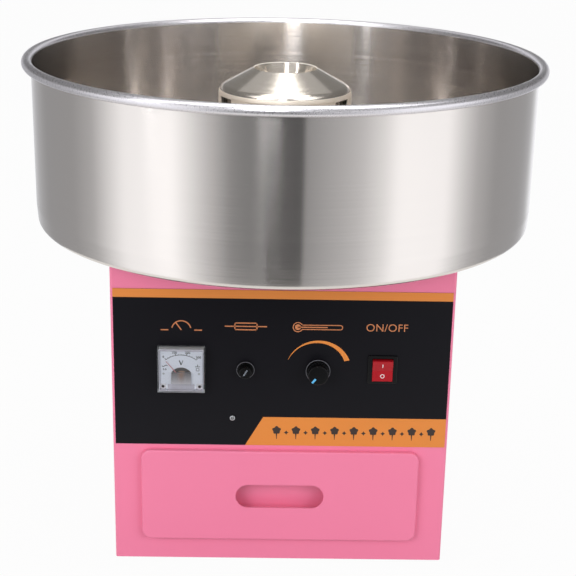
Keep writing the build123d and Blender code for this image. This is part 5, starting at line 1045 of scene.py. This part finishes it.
# %% Knob pointer
knob_low, knob_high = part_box("control_knob")
POINTER_TURN = math.radians(232)
POINTER_FROM, POINTER_TO, POINTER_WIDTH = 4.0, 9.3, 1.9
toward = np.array([math.cos(POINTER_TURN), math.sin(POINTER_TURN)])
pointer = stroke(np.array([KNOB_X, CONTROL_Z]) + np.outer([POINTER_FROM, POINTER_TO], toward),
                 POINTER_WIDTH)
printed("knob_pointer", [pointer], knob_low.y / MM - INK, pointer_paint, "knob")
print("pointer at", round(math.degrees(POINTER_TURN)), "degrees")

# %% [markdown]
# The skirt of the knob and the flange of the fuse holder end in a narrow rounded edge that
# catches the light from above as a thin arc. That arc is a painted highlight: each edge is a thin
# bead of its own, coloured grey. A mask in the material would need finer faces than the solids have.

# %% Edges with a painted highlight
def edge_bead(name, x, front_y, radius, tube, body):
    """A torus: (R + r cos v) round the axis that points forward, and r sin v along it. In mm."""
    u = np.radians(np.arange(0, 360, 5.0))[:, None]
    v = np.radians(np.arange(0, 360, 30.0))[None, :]
    ring = radius - tube + tube * np.cos(v)
    grid = np.stack([x + ring * np.cos(u), front_y + tube + tube * np.sin(v) + 0 * u,
                     CONTROL_Z + ring * np.sin(u)], axis=-1) * MM
    faces = grid_quads(*grid.shape[:2], True, True)
    grid = grid.reshape(-1, 3)
    return piece_from(name, grid, outwards(grid, faces), edge_highlight_plastic, body, sharp=80)


SKIRT_R, SKIRT_DEPTH, SKIRT_BEAD = 11.8, 2.4, 0.5
FLANGE_R, FLANGE_DEPTH, FLANGE_BEAD = 8.65, 2.2, 0.4
# Each bead's grey is a painted highlight, the light the edge catches from above.
edge_bead("knob_skirt_edge_highlight", KNOB_X, knob_high.y / MM - SKIRT_DEPTH - INK, SKIRT_R, SKIRT_BEAD, "knob")
edge_bead("fuse_flange_edge_highlight", FUSE_X, FILM_Y - FLANGE_DEPTH - INK, FLANGE_R, FLANGE_BEAD, "cabinet")
print("edge beads", 2 * SKIRT_BEAD, "mm and", 2 * FLANGE_BEAD, "mm thick")

# %% [markdown]
# The rocker has a line and a ring for on and off. Each mark lies on its own tilted half of the
# rocker, so it is drawn flat at the origin, and one matrix leans it and turns it about the pin.

# %% Rocker marks
PIN_Y = FILM_Y + 1.0
FACE_DEPTH = 3.4
THROW = 16.0
RISE, RUN = 1.6, 11.0
MARK_Z, LINE_HALF, RING_R = 5.6, 1.9, 1.75
LEAN = math.degrees(math.atan(RISE / RUN))


def on_rocker(height, lean):
    """The place of a mark drawn at the origin: on the half face, leaned, then turned with the rocker."""
    out = FACE_DEPTH + abs(height) * RISE / RUN + INK
    return (Matrix.Translation((SWITCH_X * MM, PIN_Y * MM, SWITCH_Z * MM))
            @ Matrix.Rotation(math.radians(THROW / 2), 4, "X")
            @ Matrix.Translation((0, -out * MM, height * MM))
            @ Matrix.Rotation(math.radians(lean), 4, "X"))


on_mark = [bar(-0.35, 0.35, -LINE_HALF, LINE_HALF)]
off_mark = [stroke(arc(0, 0, RING_R, 0, 360, 49), 0.6)]
printed("rocker_on_mark", on_mark, 0, mark_paint, "rocker", on_rocker(MARK_Z, LEAN))
printed("rocker_off_mark", off_mark, 0, mark_paint, "rocker", on_rocker(-MARK_Z, -LEAN))
print("rocker faces lean", round(LEAN, 1), "degrees")

# %% [markdown]
# ## Finish
# The colours are shown as they are, with no film look over them.

# %% Finish
bpy.context.scene.view_settings.view_transform = "Standard"
